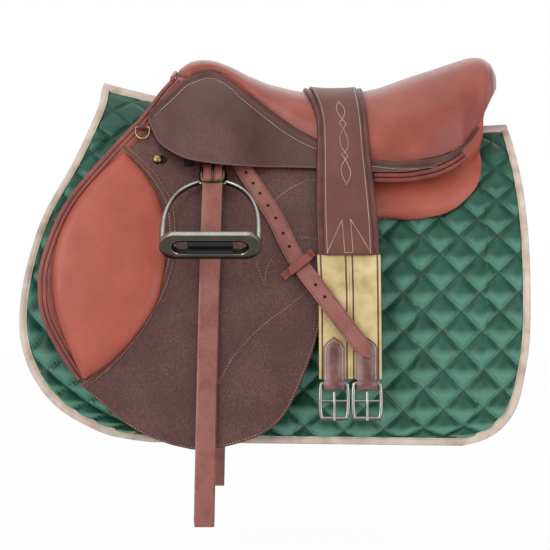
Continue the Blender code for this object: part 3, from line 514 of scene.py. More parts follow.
class Rubber(Leather):
    """Moulded rubber: dull black with a fine pebble."""


@dataclass(frozen=True)
class Metal:
    """A polished or blackened metal with fine polishing marks."""

    name: str
    base: str
    tint: str
    roughness: float = 0.18
    shade: str = "#8A8680"

    def material(self) -> bpy.types.Material:
        """Smudges in roughness, marks finer than the render shows drawn at 0.8 mm, and painted shade that
        darkens the faces looking down.
        """
        material, n, shader = new_material(self.name)
        place = n.place()
        smudge = n.noise(place, 14, 3.0)
        marks = n.noise(place, 0.8, 2.0)
        tone = n.mix(smudge, linear(self.base), linear(self.tint))
        way = n.add("ShaderNodeSeparateXYZ", {"Vector": n.place("Normal")}).outputs["Z"]
        up = n.math("MULTIPLY", n.math("ADD", way, 1.0), 0.5)
        # Painted shade: faces that look down are darkened towards the shade colour, those that look up stay
        # white.
        painted_underside_shade = n.ramp(up, [(0.0, self.shade), (0.34, self.shade), (0.56, "#FFFFFF"), (1.0, "#FFFFFF")])
        tone = n.mix(1.0, tone, painted_underside_shade, "MULTIPLY")
        rough = n.math("ADD", n.math("MULTIPLY", smudge, 0.12), self.roughness - 0.05)
        n.feed(shader, {"Base Color": tone, "Roughness": rough, "Normal": n.bump(marks, 0.25, 0.03),
                        "Metallic": 1.0})
        return material


@dataclass(frozen=True)
class Cloth:
    """Woven cloth: its colours, thread spacing and sheen."""

    name: str
    dark: str
    base: str
    light: str
    thread_mm: float = 0.9
    roughness: float = 0.6
    sheen: float = 0.3
    depth_mm: float = 0.08
    steady: float = 0.2

    def material(self) -> bpy.types.Material:
        """Threads as crossed waves, darker in seams by the piece's own marks."""
        material, n, shader = new_material(self.name)
        place = n.place()
        waves = [n.add("ShaderNodeTexWave", {"Vector": place, "Scale": 0.16 / (self.thread_mm * MM),
                                             "Distortion": 1.2, "Detail": 1.0},
                       wave_type="BANDS", bands_direction=way).outputs["Fac"] for way in ("X", "Z")]
        weave = n.math("MULTIPLY", *waves)
        tone = n.ramp(n.noise(place, 25, 3.0), [(0.5 - self.steady, self.dark), (0.5, self.base),
                                                (0.5 + self.steady, self.light)])
        tone = n.tint(tone, weave, 0.25, self.dark)
        tone = n.tint(tone, n.mark("burnish"), 0.85, self.dark)
        n.feed(shader, {"Base Color": tone, "Normal": n.bump(weave, 1.0, self.depth_mm),
                        "Roughness": self.roughness, "Sheen Weight": self.sheen, "Sheen Roughness": 0.4,
                        "Sheen Tint": linear(self.light)})
        return material


class Quilting(Cloth):
    """Satin sewn in diamonds: each seam is a narrow line of painted shade with puckers along it."""

    painted_reflection_colour = "#5E937F"

    def material(self) -> bpy.types.Material:
        """Lines of painted shade where either of the pad's own diamond lanes passes a whole number, and a
        painted reflection that is lighter where the puffs turn down."""
        material = super().material()
        n, shader = Nodes(material.node_tree), material.node_tree.nodes["Principled BSDF"]
        away = []
        for key in ("lane_a", "lane_b"):
            lane = n.mark(key)
            away.append(n.math("ABSOLUTE", n.math("SUBTRACT", lane, n.math("ROUND", lane))))
        near = n.math("MINIMUM", *away)
        # Painted shade: the sewn lines are darkened as the shade in their creases.
        seam = n.ramp(near, [(0.0, "#FFFFFF"), (0.022, "#B8B8B8"), (0.055, "#000000")])
        tone, weave = (shader.inputs[key].links[0].from_socket for key in ("Base Color", "Normal"))
        upward = n.add("ShaderNodeSeparateXYZ", {"Vector": n.place("Normal")}).outputs["Z"]
        # Painted reflection: faces that turn down are drawn lighter, as if lit from the floor below.
        painted_reflection_share = n.ramp(n.math("SUBTRACT", 0.5, upward), [(0.25, "#000000"), (0.62, "#FFFFFF")])
        tone = n.tint(n.tint(tone, painted_reflection_share, 0.85, self.painted_reflection_colour), seam, 0.8, self.dark)
        dip = n.ramp(near, [(0.0, "#000000"), (0.05, "#8A8A8A"), (0.16, "#FFFFFF")])
        n.feed(shader, {"Base Color": tone, "Normal": n.bump(dip, 0.8, 2.2, Normal=weave),
                        "Specular IOR Level": 0.3})
        return material


FINISHES = {
    # Leather: dark, base and light colour, grain size and depth in mm, roughness, coat, size of the
    # blotches in mm, speckle, bloom. Cloth: the colours, thread in mm, roughness, sheen, depth in mm
    # Soft brick calf: even tone, fine grain, a soft light on its rounds
    "seat": Leather("waxed calf seat leather", "#7E3526", "#984431", "#A8543F",
                    0.9, 0.06, 0.45, 0.26, 60, 0.3, 0.35),
    "knee": Leather("soft calf knee leather", "#9A4634", "#A74C3A", "#B25643",
                    1.1, 0.08, 0.44, 0.2, 45, 0.4),
    "panel": Leather("soft calf panel leather", "#9A4433", "#AA4E3B", "#B65A46",
                     1.0, 0.07, 0.42, 0.28, 60, 0.35),
    # Darker rolled edges, burnished by the thread beside them
    "welt": Leather("rolled calf welt leather", "#54221C", "#7E382C", "#964A3A", 0.9, 0.06, 0.45, 0.1),
    "rolled": Leather("burnished rolled edge leather", "#6A3029", "#8A4238", "#9C5245",
                      0.9, 0.06, 0.42, 0.2, 45, 0.35),
    "band": Leather("dark rolled seat welt", "#3A1C18", "#583029", "#6E4038", 1.0, 0.06, 0.5, 0.1),
    # Chocolate sides: pebbled and speckled flap, smoother dull skirt
    "flap": Leather("pebbled flap leather", "#3A201D", "#55302B", "#70483F",
                    1.4, 0.3, 0.46, 0.12, 70, 0.65),
    "skirt": Leather("fine grained skirt leather", "#42261F", "#5A3630", "#6E4A42",
                     1.2, 0.16, 0.55, 0.05, 80, 0.55),
    # Rosy waxed straps and their pale edges
    "strap": Leather("oxblood bridle leather strap", "#76403A", "#92574F", "#A2695F",
                     1.1, 0.07, 0.44, 0.12, 30, 0.4),
    "waxed": Leather("waxed strap edge", "#8A5550", "#A8736C", "#B8877F", 1.1, 0.04, 0.5, 0.1, 30, 0.4),
    # Girth: dark lining, brown face, glossy chapes
    "girth": Leather("oxblood girth lining leather", "#4A1F1B", "#62302A", "#78403A",
                     1.0, 0.06, 0.46, 0.15, 25),
    "overlay": Leather("brown girth face leather", "#562E25", "#6A3B31", "#78483C",
                       1.0, 0.07, 0.5, 0.1, 70, 0.3),
    "chape": Leather("glazed buckle chape leather", "#44221F", "#734440", "#93605A",
                     1.0, 0.05, 0.2, 0.7, 20),
    # Cut edges, dull and nearly black, and punched holes whose near-black is painted shade
    "edge": Leather("raw dyed leather core", "#2A1512", "#3A1E1A", "#4A2A24", 1.0, 0.05, 0.7, 0.0),
    "hole": Leather("punched hole painted shade", "#080404", "#0C0706", "#120A08", 1.0, 0.02, 0.9, 0.0),
    # Cloths: shiny green satin, matt bindings and elastics, round threads
    "satin": Quilting("bottle green quilted satin cotton", "#0E3026", "#265645", "#35695A",
                      0.8, 0.36, 0.28, 0.05, 0.46),
    "binding": Cloth("champagne cotton binding", "#B5A091", "#CFBDAF", "#DFD0C4", 1.3, 0.75, 0.2, 0.1),
    "elastic": Cloth("beige woven elastic", "#B09A68", "#CDB684", "#DAC796", 1.2, 0.75, 0.2, 0.12),
    "stripe": Cloth("brown elastic stripe", "#4A2A20", "#6B4030", "#7C4E3C", 1.2, 0.75, 0.1, 0.12),
    "cord": Cloth("cream piping cord", "#B7A288", "#D6C6A8", "#E6D9C0", 1.0, 0.7, 0.2, 0.1),
    "cream": Cloth("cream waxed linen thread", "#B49A88", "#D8C2B2", "#E8D8CA", 0.6, 0.55, 0.1, 0.05),
    "tan": Cloth("tan waxed linen thread", "#8A5038", "#C47C5C", "#D89A7A", 0.6, 0.55, 0.1, 0.05),
    "webbing": Cloth("flax girth webbing", "#8E8468", "#B0A684", "#C2B898", 1.6, 0.8, 0.1, 0.2),
    # Metals, all with painted shade on the faces that look down: bright steel, brown and black steel, soft
    # brass
    "steel": Metal("polished stainless steel", "#BDBCB6", "#8E8C86", 0.2, "#777269"),
    "gun": Metal("bronzed steel", "#80684E", "#4E4032", 0.25),
    "black": Metal("blackened forged steel", "#2A2A2B", "#1A1A1B", 0.42),
    "brass": Metal("pale lacquered brass", "#C9B285", "#A08C60", 0.3),
    "stud": Metal("aged brass stud", "#B89C62", "#80683A", 0.3, "#5A4828"),
    # Hidden core, and the tread's dull pads
    "wood": Laminate("varnished birch laminate", "#A07A4A", "#BC9462", "#CCA878",
                     2.4, 0.04, 0.45, 0.2, 40, 0.5),
    "foam": Foam("cut seat foam", "#B8A878", "#CFC090", "#DCCFA4", 1.2, 0.3, 0.9, 0.0, 40, 0.5),
    "rubber": Rubber("moulded black rubber", "#0E0F0F", "#18191A", "#242627", 1.4, 0.1, 0.62, 0.0),
}


# Sewing


class Sewing:
    """Lays stitches along lines with one Geometry Nodes tree."""

    def __init__(self) -> None:
        """Builds the tree: a line is cut at even steps, and each step gets one rounded stitch."""
        tree = bpy.data.node_groups.new("saddle stitches", "GeometryNodeTree")
        face = tree.interface
        face.new_socket("Geometry", in_out="OUTPUT", socket_type="NodeSocketGeometry")
        face.new_socket("Geometry", in_out="INPUT", socket_type="NodeSocketGeometry")
        self.inputs = {}
        for key, kind in (("Pitch", "NodeSocketFloat"), ("Size", "NodeSocketVector"),
                          ("Thread", "NodeSocketMaterial")):
            self.inputs[key] = face.new_socket(key, in_out="INPUT", socket_type=kind).identifier
        n = Nodes(tree)
        start = n.add("NodeGroupInput").outputs
        line = n.add("GeometryNodeMeshToCurve", {"Mesh": start["Geometry"]})
        even = n.add("GeometryNodeResampleCurve", {"Curve": line.outputs["Curve"], "Length": start["Pitch"]},
                     mode="LENGTH")
        grain = n.add("GeometryNodeMeshUVSphere", {"Segments": 6, "Rings": 4, "Radius": 0.5})
        ahead = n.add("GeometryNodeInputTangent")
        up = n.add("GeometryNodeInputNamedAttribute", {"Name": "face"}, data_type="FLOAT_VECTOR")
        turn = n.add("FunctionNodeAlignRotationToVector", {"Vector": ahead.outputs["Tangent"]}, axis="X")
        turn = n.add("FunctionNodeAlignRotationToVector",
                     {"Rotation": turn.outputs["Rotation"], "Vector": up.outputs["Attribute"]},
                     axis="Z", pivot_axis="X")
        laid = n.add("GeometryNodeInstanceOnPoints",
                     {"Points": even.outputs["Curve"], "Instance": grain.outputs["Mesh"],
                      "Rotation": turn.outputs["Rotation"], "Scale": start["Size"]})
        real = n.add("GeometryNodeRealizeInstances", {"Geometry": laid.outputs["Instances"]})
        dressed = n.add("GeometryNodeSetMaterial", {"Geometry": real.outputs["Geometry"],
                                                    "Material": start["Thread"]})
        n.add("NodeGroupOutput", {"Geometry": dressed.outputs["Geometry"]})
        self.tree = tree

    def sew(self, name: str, lines: list[tuple[Array, Array]], thread: bpy.types.Material,
            pitch: float = 4.4, long: float = 3.3, wide: float = 1.0) -> bpy.types.Object:
        """Sews lines.

        Args:
            name: name of the piece.
            lines: for each line its points and the ways the surface looks there.
            thread: material of the thread.
            pitch: distance from stitch to stitch.
            long: length of a stitch.
            wide: width of a stitch.

        Returns:
            The stitches as one plain mesh.
        """
        verts, edges, faces = [], [], []
        for points, ways in lines:
            start = len(verts)
            verts += (points * MM).tolist()
            faces += ways.tolist()
            edges += [(start + k, start + k + 1) for k in range(len(points) - 1)]
        mesh = bpy.data.meshes.new(name)
        mesh.from_pydata(verts, edges, [])
        mesh.attributes.new("face", "FLOAT_VECTOR", "POINT").data.foreach_set("vector", np.ravel(faces))
        obj = new_object(name, mesh)
        modifier = obj.modifiers.new("stitches", "NODES")
        modifier.node_group = self.tree
        modifier[self.inputs["Pitch"]] = pitch * MM
        modifier[self.inputs["Size"]] = (long * MM, wide * MM, wide * 0.7 * MM)
        modifier[self.inputs["Thread"]] = thread
        graph = bpy.context.evaluated_depsgraph_get()
        done = bpy.data.meshes.new_from_object(obj.evaluated_get(graph), depsgraph=graph)
        obj.modifiers.clear()
        obj.data = done
        done.materials.clear()
        done.materials.append(thread)
        done.shade_smooth()
        return obj


class Shop:
    """The finishes, the sewing and the hand-over to the frame, for every sub-assembly."""

    def __init__(self) -> None:
        """Makes each material once."""
        self.finishes = {key: finish.material() for key, finish in FINISHES.items()}
        self.sewing = Sewing()

    def keep(self, piece: bpy.types.Object, slot: str, *nodes: str, body: str = "saddle",
             fill: float | None = None) -> bpy.types.Object:
        """Hands a piece to the frame.

        Args:
            piece: the finished piece.
            slot: the record's material slot; not used.
            nodes: the CAD nodes that it stands for.
            body: the body that it moves with.
            fill: how full it is, for a padded piece; not used.

        Returns:
            The piece.
        """
        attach(piece, body)
        if nodes:
            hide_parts(*nodes)
        LOG.info("%s rides on %s: %d faces", piece.name, body, len(piece.data.polygons))
        return piece

    def add(self, name: str, shell: Shell, finish: str, slot: str, *nodes: str, sharp: float = 40.0,
            marks: dict[str, Array] | None = None, **hand: object) -> bpy.types.Object:
        """Makes a piece of points and faces and hands it over; the rest is as in to_object and keep."""
        return self.keep(to_object(name, *shell, self.finishes[finish], marks, sharp), slot, *nodes, **hand)

    def sew(self, name: str, lines: Sequence[tuple[Array, Array]], thread: str, slot: str,
            *sizes: float) -> None:
        """Sews lines and hands the stitches over; the sizes are as in Sewing.sew."""
        self.keep(self.sewing.sew(name, lines, self.finishes[thread], *sizes), slot)


# The pad


@dataclass
class QuiltedPad:
    """Close-contact pad: two faces of satin cotton with foam between, sewn in diamonds."""

    shop: Shop
    diamond: float = 54.0
    puff: float = 7.5
    edge: float = 9.9
    binding_wide: float = 9.0
    crest_half: float = 37.0
    crossing: tuple[float, float] = (175.0, -187.0)
    rows: int = 341
    cols: int = 261
    front: Points = ((-251, 64), (-253, 21), (-280, -54), (-319, -132), (-340, -201), (-349, -263),
                     (-346, -311), (-328, -358), (-293, -399), (-239, -429), (-205, -438), (-170, -443))
    rear: Points = ((338, 2), (340, -28), (348, -95), (352, -180), (350, -290), (342, -350),
                    (330, -396), (310, -424), (285, -440), (255, -448))

    def plan(self, inset: float, rows: int, cols: int) -> tuple[Array, Array]:
        """Points of the pad's side view in from its edge, and which share of the way down each row is."""
        share = np.linspace(-1, 1, rows)
        t = np.abs(share)**1.3
        a, b = catmull(self.front, t), catmull(self.rear, t)
        drop = np.stack([np.zeros_like(t), inset * t * t], -1)
        reach = unit(b - a) * inset
        a, b = a + reach + drop, b - reach + drop
        u = dense_ends(cols, 0.5)[None, :, None]
        return a[:, None] * (1 - u) + b[:, None] * u, share

    def face(self, plan: Array, share: Array, d: Array) -> Array:
        """Points of a face of the pad, a given way out from the horse."""
        d = np.broadcast_to(np.asarray(d, float), plan.shape[:2])
        top = spine(plan[..., 0]) + d - 0.4
        z = np.minimum(plan[..., 1], top)
        w = half_width(plan[..., 0], z, d, raised=False)
        middle = np.abs(share)[:, None] < 1e-9
        z = np.where(middle, spine(plan[..., 0]) + d, z)
        w = np.where(middle, 0.0, w)
        return np.stack([plan[..., 0], np.sign(share)[:, None] * w, z], -1)

    def quilt(self, plan: Array, share: Array) -> tuple[Array, Array, Array]:
        """Height of the puffs, from the diamonds' own lanes.

        Args:
            plan: points of the side view.
            share: which share of the way down each row is.

        Returns:
            The height in millimetres and both lanes, which are whole numbers on the sewn lines.
        """
        flat = self.face(plan, share, CLOTH_OUT)
        down = np.concatenate([np.zeros((1, plan.shape[1])),
                               np.cumsum(np.linalg.norm(np.diff(flat, axis=0), axis=2), axis=0)])
        x = plan[..., 0]
        near = len(share) // 2
        start = np.abs(flat[:near, :, 2] - self.crossing[1]).argmin(0)[None, :]
        s = down - np.take_along_axis(down[:near], start, 0)
        wave = 1.6 * np.sin(x / 83 + 1) * np.sin(down / 61)
        a, b = ((x - self.crossing[0] + way * s + wave) / self.diamond for way in (1, -1))
        la, lb = np.abs(a - np.round(a)) * 2, np.abs(b - np.round(b)) * 2
        puff = (np.sin(math.pi / 2 * la) * np.sin(math.pi / 2 * lb))**0.7
        line = np.minimum(la, lb) * self.diamond / 2 / math.sqrt(2)
        crease = (0.55 * np.sin(x * 0.31 + down * 0.11) + 0.45 * np.sin(x * 0.13 - down * 0.37 + 1.7)
                  + 0.3 * np.sin(down * 0.53 + x * 0.05))
        pucker = np.exp(-((line - 4.5) / 4.0)**2) * crease * 0.2
        return self.puff * puff + pucker - 2.2, a, b

    def build(self) -> None:
        """Makes the quilted cloth and its binding."""
        plan, share = self.plan(self.edge - 1.5, self.rows, self.cols)
        puff, lane_a, lane_b = self.quilt(plan, share)
        border = (1 - np.abs(share))[:, None] * 450 + 0 * puff
        for side in (np.arange(self.cols), np.arange(self.cols)[::-1]):
            border = np.minimum(border, side[None, :] * 3.2)
        under = smooth(0.11, 0.22, np.abs(share))[:, None]
        rise = (puff + 2) * smooth(0, 12, border) * (0.2 + 0.8 * under)
        shell = slab(self.face(plan, share, CLOTH_OUT - 2 + rise), self.face(plan, share, 0.4))
        self.shop.add("saddle_pad_quilt", shell, "satin", "pad_cloth", "saddle_pad", fill=0.45,
                      marks={"lane_a": lane_a, "lane_b": lane_b})
        self.bind()
        self.crest()

    def bind(self) -> None:
        """Folded cotton binding round the edge, with a fine cord along its inner side."""

        def ring(inset: float, d: float) -> Array:
            plan, share = self.plan(inset, 151, 121)
            return rim(self.face(plan, share, d))

        w, top = self.binding_wide, CLOTH_OUT
        rings = [(0.0, 3.0), (-0.3, top * 0.5), (0.0, top - 1.5), (1.2, top + 0.6), (w * 0.5, top + 1.4),
                 (w - 1.0, top + 0.9), (w, top - 0.2), (w, 0.5), (w - 1.0, -0.8), (1.5, -0.9), (0.3, 0.6)]
        self.shop.add("pad_edge_binding", sweep(np.stack([ring(i, d) for i, d in rings], 1), closed=True),
                      "binding", "binding", "pad_binding")
        cord = rod(ring(w + 0.7, top + 0.2), UPRIGHT, 1.8, 1.8, closed=True, sides=6)
        self.shop.add("pad_binding_cord", cord, "cord", "binding")

    def crest(self) -> None:
        """Bound strip over the pad's spine, before and behind the saddle."""
        for name, start, end in (("front", -249.0, -112.0), ("rear", 250.0, 337.0)):
            x, t = np.meshgrid(np.linspace(start, end, 60), np.linspace(-1, 1, 33), indexing="ij")
            w = self.crest_half * t
            low = spine(x) + CLOTH_OUT - w**2 / 164
            high = low + 1.2 + 2.3 * rounded(self.crest_half * (1 - np.abs(t)), 4.0)
            shell = slab(*(np.stack([x, w, z], -1) for z in (high, low - 4)))
            self.shop.add(f"pad_crest_binding_{name}", shell, "binding", "binding")


# The seat and its side leathers


SEAT_SIDE = [(-143, 77, 71, 30), (-138, 85, 66, 60), (-123, 95, 67, 0), (-107, 99, 76, 0),
             (-88, 98, 79, 0), (-63, 88, 64, 0), (-37, 74, 42, 0), (-10, 63, 20, 0),
             (30, 53, -10, 0), (70, 48, -31, 0), (110, 49, -47, 0), (150, 57, -55, 0),
             (190, 72, -56, 0), (230, 85, -49, 0), (262, 96, -35, 0), (285, 103, -6, 0),
             (300, 102, 22, 94), (312, 94, 44, 74), (319, 82, 54, 48), (322, 70, 60, 24)]


def dome(top: Array, seam: Array, width: Array, turn: Array) -> tuple[Array, Array]:
    """Half width and height of the seat's outside, at a turn from its crown."""
    return (width * np.sin(turn)**0.85,
            seam + np.maximum(top - seam, 0.5) * np.maximum(0, np.cos(turn))**0.8)


class SeatForm:
    """The seat's smooth side view: its top, its seam and the seam's half width."""

    def __init__(self) -> None:
        """Runs smooth curves through the table."""
        rows = [(x, t, s, w or float(half_width(x, s, SKIRT_OUT))) for x, t, s, w in SEAT_SIDE]
        steps = np.linspace(0, len(rows) - 1, 400)
        table = np.array(rows, float)
        self.table = np.stack([np.interp(steps, range(len(rows)), table[:, k]) for k in range(4)], 1)
        kernel = np.hanning(23)
        kernel /= kernel.sum()
        for k in (1, 2, 3):
            padded = np.pad(self.table[:, k], 11, mode="reflect", reflect_type="odd")
            self.table[:, k] = np.convolve(padded, kernel, "valid")

    def at(self, x: Array) -> tuple[Array, Array, Array]:
        """Top, seam height and seam half width at places along the seat."""
        t = self.table
        return tuple(np.interp(x, t[:, 0], t[:, k]) for k in (1, 2, 3))

    def point(self, x: Array, share: Array, proud: float = 0.0, tuck: float = 0.0) -> Array:
        """Points across the dome: share 0 is its crown, 1 and -1 its two seams.

        Args:
            x: places along the seat.
            share: places across it.
            proud: how far outside the seat's own surface.
            tuck: how much the leather bulges over its seam.

        Returns:
            The points.
        """
        top, seam, width = self.at(x)
        w, z = dome(top + proud, seam, width + proud, math.pi / 2 * np.abs(share))
        w = w + tuck * np.sin(math.pi * np.clip((np.abs(share) - 0.62) / 0.38, 0, 1))
        return np.stack([x + 0 * w, np.sign(share) * w, z], -1)


@dataclass
class Seat:
    """Foam seat under one piece of waxed calf, with its webbing and the facings of both arches."""

    shop: Shop
    form: SeatForm
    leather: float = 3.0

    def build(self) -> None:
        """Makes the cover, what lies inside it and the facings."""
        share = np.sin(math.pi / 2 * np.linspace(-1, 1, 141)) * 0.6 + np.linspace(-1, 1, 141) * 0.4
        steps = np.linspace(0, 399, 190)
        xs = np.interp(steps, range(400), self.form.table[:, 0])
        grid_x, grid_s = np.meshgrid(xs, share, indexing="ij")
        flat = smooth(-130, -90, grid_x) * (1 - smooth(296, 318, grid_x))
        outer = self.form.point(grid_x, grid_s, 0.0, 1.8)
        plain = self.form.point(grid_x, grid_s)
        flat = flat * (1 - 0.9 * np.exp(-((grid_x - 92) / 62)**6))
        outer = plain + (outer - plain) * flat[..., None]
        pull = 0.12 * np.sin(grid_x / 7.0) * np.exp(-((np.abs(grid_s) - 0.93) / 0.05)**2) * flat
        outer[..., 1] += np.sign(grid_s) * pull
        inner = self.form.point(grid_x, grid_s, -self.leather)
        inner[:3, :, 0] += 2
        inner[-3:, :, 0] -= 2
        self.shop.add("seat_leather", slab(outer, inner), "seat", "seat_leather", "seat_cover", fill=0.9,
                      sharp=60, marks={"burnish": groove(1 - np.abs(grid_s), 0.018)})
        self.inside()
        self.front_arch()
        self.rear_facing()

    def inside(self) -> None:
        """Foam under the leather, and the webbing that carries it between the tree's bars."""
        x, s = np.meshgrid(np.linspace(-86, 260, 60), np.linspace(-0.56, 0.56, 41), indexing="ij")
        top = self.form.point(x, s, -self.leather - 2.4)
        low = top.copy()
        low[..., 2] = np.minimum(top[..., 2] - 1, height_at(x, top[..., 1], TREE_OUT + 2))
        self.shop.add("seat_foam_block", slab(top, low), "foam", "foam", "seat_foam", fill=1.0)
        x, w = np.meshgrid(np.linspace(-39, 199, 50), np.linspace(-51, 51, 25), indexing="ij")
        grids = [np.stack([x, w, height_at(x, w, TREE_IN + d)], -1) for d in (4.0, 2.0)]
        piece = self.shop.add("seat_web_straps", slab(*grids), "webbing", "webbing", "seat_webbing")

    def front_arch(self) -> None:
        """Brick facing of the head's arch, from skirt to skirt under the seat's nose."""

        def laid(spots: Points, d: float) -> list[Array]:
            return list(wrap(np.array(spots, float), d, Side.OFF))

        upper = laid([(-172, 8), (-160, 27), (-149, 43), (-142, 53)], 46.0)
        upper += [(-141, 76, 65), (-141, 54, 70), (-142, 28, 73.5), (-142, 0, 75)]
        lower = laid([(-150, 6), (-148, 24), (-146, 40), (-144, 52)], 21.0)
        lower += [(-142, 42, 58), (-141, 28, 61), (-140, 14, 63.5), (-140, 0, 64.5)]
        self.facing_piece("front_arch_facing", upper, lower, 14.0, 3.0)
        roll = laid([(-146, 60), (-145.5, 65)], 53.0)
        roll += [(-144.5, 69, 70), (-144, 48, 75), (-144.5, 25, 79), (-145, 0, 80.5)]
        path = mirrored(catmull(roll, np.linspace(0, 1, 40)))
        self.shop.add("pommel_piping", rod(path, ALONG, 6.4, 5.6), "rolled", "piping_leather")

    def rear_facing(self) -> None:
        """Brick facing under the cantle, from the seat's seam down to the panels."""
        xs = np.array([263, 275, 286, 296, 306, 314, 319, 321.5])
        upper = [*self.form.point(xs, np.ones(8), -1.2), (319.5, 0, 69)]
        lower = [(267, 110, -66), (279, 101, -58), (287, 93, -46), (291, 82, -31), (293, 66, -17),
                 (294, 50, -6), (294, 34, 1), (294, 17, 6), (294, 0, 8)]
        self.facing_piece("cantle_facing", upper, lower, -7.0, 5.0,
                          lambda z: np.interp(z, [6, 22, 44, 54, 60], [294.5, 298.5, 310.5, 317.5, 320.5]))

    def facing_piece(self, name: str, upper: Points, lower: Points, back: float, bulge: float,
                     reach: Callable[[Array], Array] | None = None) -> None:
        """A stuffed facing between an upper and a lower edge, mirrored across the middle.

        Args:
            name: name of the piece.
            upper: points of the upper edge, from one side to the middle.
            lower: points of the lower edge.
            back: how far along the horse its back lies from its front.
            bulge: how far its middle stands out.
            reach: how far back it may go at a height.
        """
        first, last = (mirrored(catmull(points, np.linspace(0, 1, 41))) for points in (upper, lower))
        t = np.linspace(0, 1, 15)[:, None, None]
        grid = first * (1 - t) + last * t
        nothing = 0 * grid[..., 0]
        out = unit(np.stack([nothing - back, grid[..., 1] * 0.12, nothing], -1))
        grid = grid + out * bulge * np.sin(math.pi * t)**0.7
        if reach:
            grid[..., 0] = np.minimum(grid[..., 0], reach(grid[..., 2]))
        burn = groove(np.minimum(t, 1 - t)[..., 0], 0.04) + nothing
        self.shop.add(name, slab(grid, grid + ALONG * back), "panel", "panel_leather", sharp=60,
                      marks={"burnish": burn})


SKIRT_FRONT = [(-176, 12), (-148, 39), (-126, 64)]
SKIRT_LOW = [(-177, 7), (-169, -15), (-158, -34), (-138, -49), (-113, -59), (-72, -65),
             (-35, -67), (7, -67), (58, -68), (100, -71), (143, -73), (187, -72), (229, -62),
             (262, -41), (283, -16), (290, -4)]
SKIRT_TOP = SKIRT_FRONT + [(r[0], r[2]) for r in SEAT_SIDE if -110 < r[0] < 280] + [(287, -6)]
FLAP_FRONT = [(-146, 66), (-162, 44), (-186, 7), (-233, -48), (-286, -117), (-315, -190),
              (-320, -236), (-313, -277), (-286, -328), (-252, -372), (-197, -418),
              (-150, -440), (-115, -449)]
FLAP_REAR = [(105, -62), (104, -100), (98, -150), (84, -210), (66, -265), (52, -315),
             (38, -352), (22, -388), (5, -412), (-20, -430), (-50, -441), (-80, -448),
             (-105, -449.5)]
KNEE_FRONT = [(-208, -46), (-239, -77), (-267, -112), (-288, -152), (-298, -192),
              (-299, -230), (-294, -265), (-282, -300), (-269, -330), (-258, -353)]
KNEE_REAR = [(-205, -47), (-178, -78), (-158, -112), (-150, -150), (-148, -190),
             (-152, -226), (-163, -260), (-190, -300), (-222, -333), (-254, -355)]
PANEL_FRONT = [(-150, 24), (-182, -14), (-226, -62), (-262, -112), (-281, -160), (-289, -205),
               (-284, -250), (-264, -292), (-232, -325), (-192, -345)]
PANEL_REAR = [(281, -6), (290, -36), (291, -61), (285, -86), (270, -106), (240, -128),
              (190, -138), (130, -142), (40, -200), (-150, -350)]
STITCH_LINES = {
    "rear_top": [(61.8, -83), (49, -84), (34, -88.5), (22, -95.5), (9.5, -104), (-3, -116)],
    "rear_middle": [(56, -166.5), (43, -163.5), (27, -164)],
    "vee": [(-25.5, -196), (-23, -206), (-18.5, -218), (-13.8, -229.5), (-12.8, -215), (-9.5, -203),
            (-1.5, -186)],
    "lower": [(38, -241), (25, -251.5), (9, -264), (-10.5, -278), (-28, -293.5), (-45, -311), (-59.5, -330),
              (-81, -368)],
}
KNEE_STRIP = [(-209, -39), (-191, -54), (-173, -71), (-160, -88), (-149, -106), (-142.5, -124),
              (-139.5, -147), (-139, -175), (-141, -197), (-145, -213.5), (-154, -238), (-168.5, -266),
              (-188, -297), (-222, -335), (-257, -365)]
SEAT_ROLL = [(-177, 12), (-150, 40), (-132, 60), (-112, 71), (-97, 76), (-81, 74), (-60, 62), (-37, 40),
             (-10, 17), (30, -13), (70, -33), (110, -48), (160, -56), (200, -56), (240, -48), (280, -12)]
EDGE_RADIUS = 1.6


@dataclass
class Patch:
    """A piece of the side view between a front and a rear edge, as rows and columns of points."""

    front: Points
    rear: Points
    rows: int
    cols: int
    first: float = 0.0
    last: float = 1.0
    power: float = 1.0

    def plan(self) -> tuple[Array, Array]:
        """The grid of points (x, z), and how far each lies in from the outline."""
        t = self.first + (self.last - self.first) * dense_ends(self.rows)**self.power
        a, b = catmull(self.front, t), catmull(self.rear, t)
        u = dense_ends(self.cols)[None, :, None]
        plan = a[:, None] * (1 - u) + b[:, None] * u
        return plan, distance_to(plan, np.concatenate([rim(plan), plan[:1, 0]]))


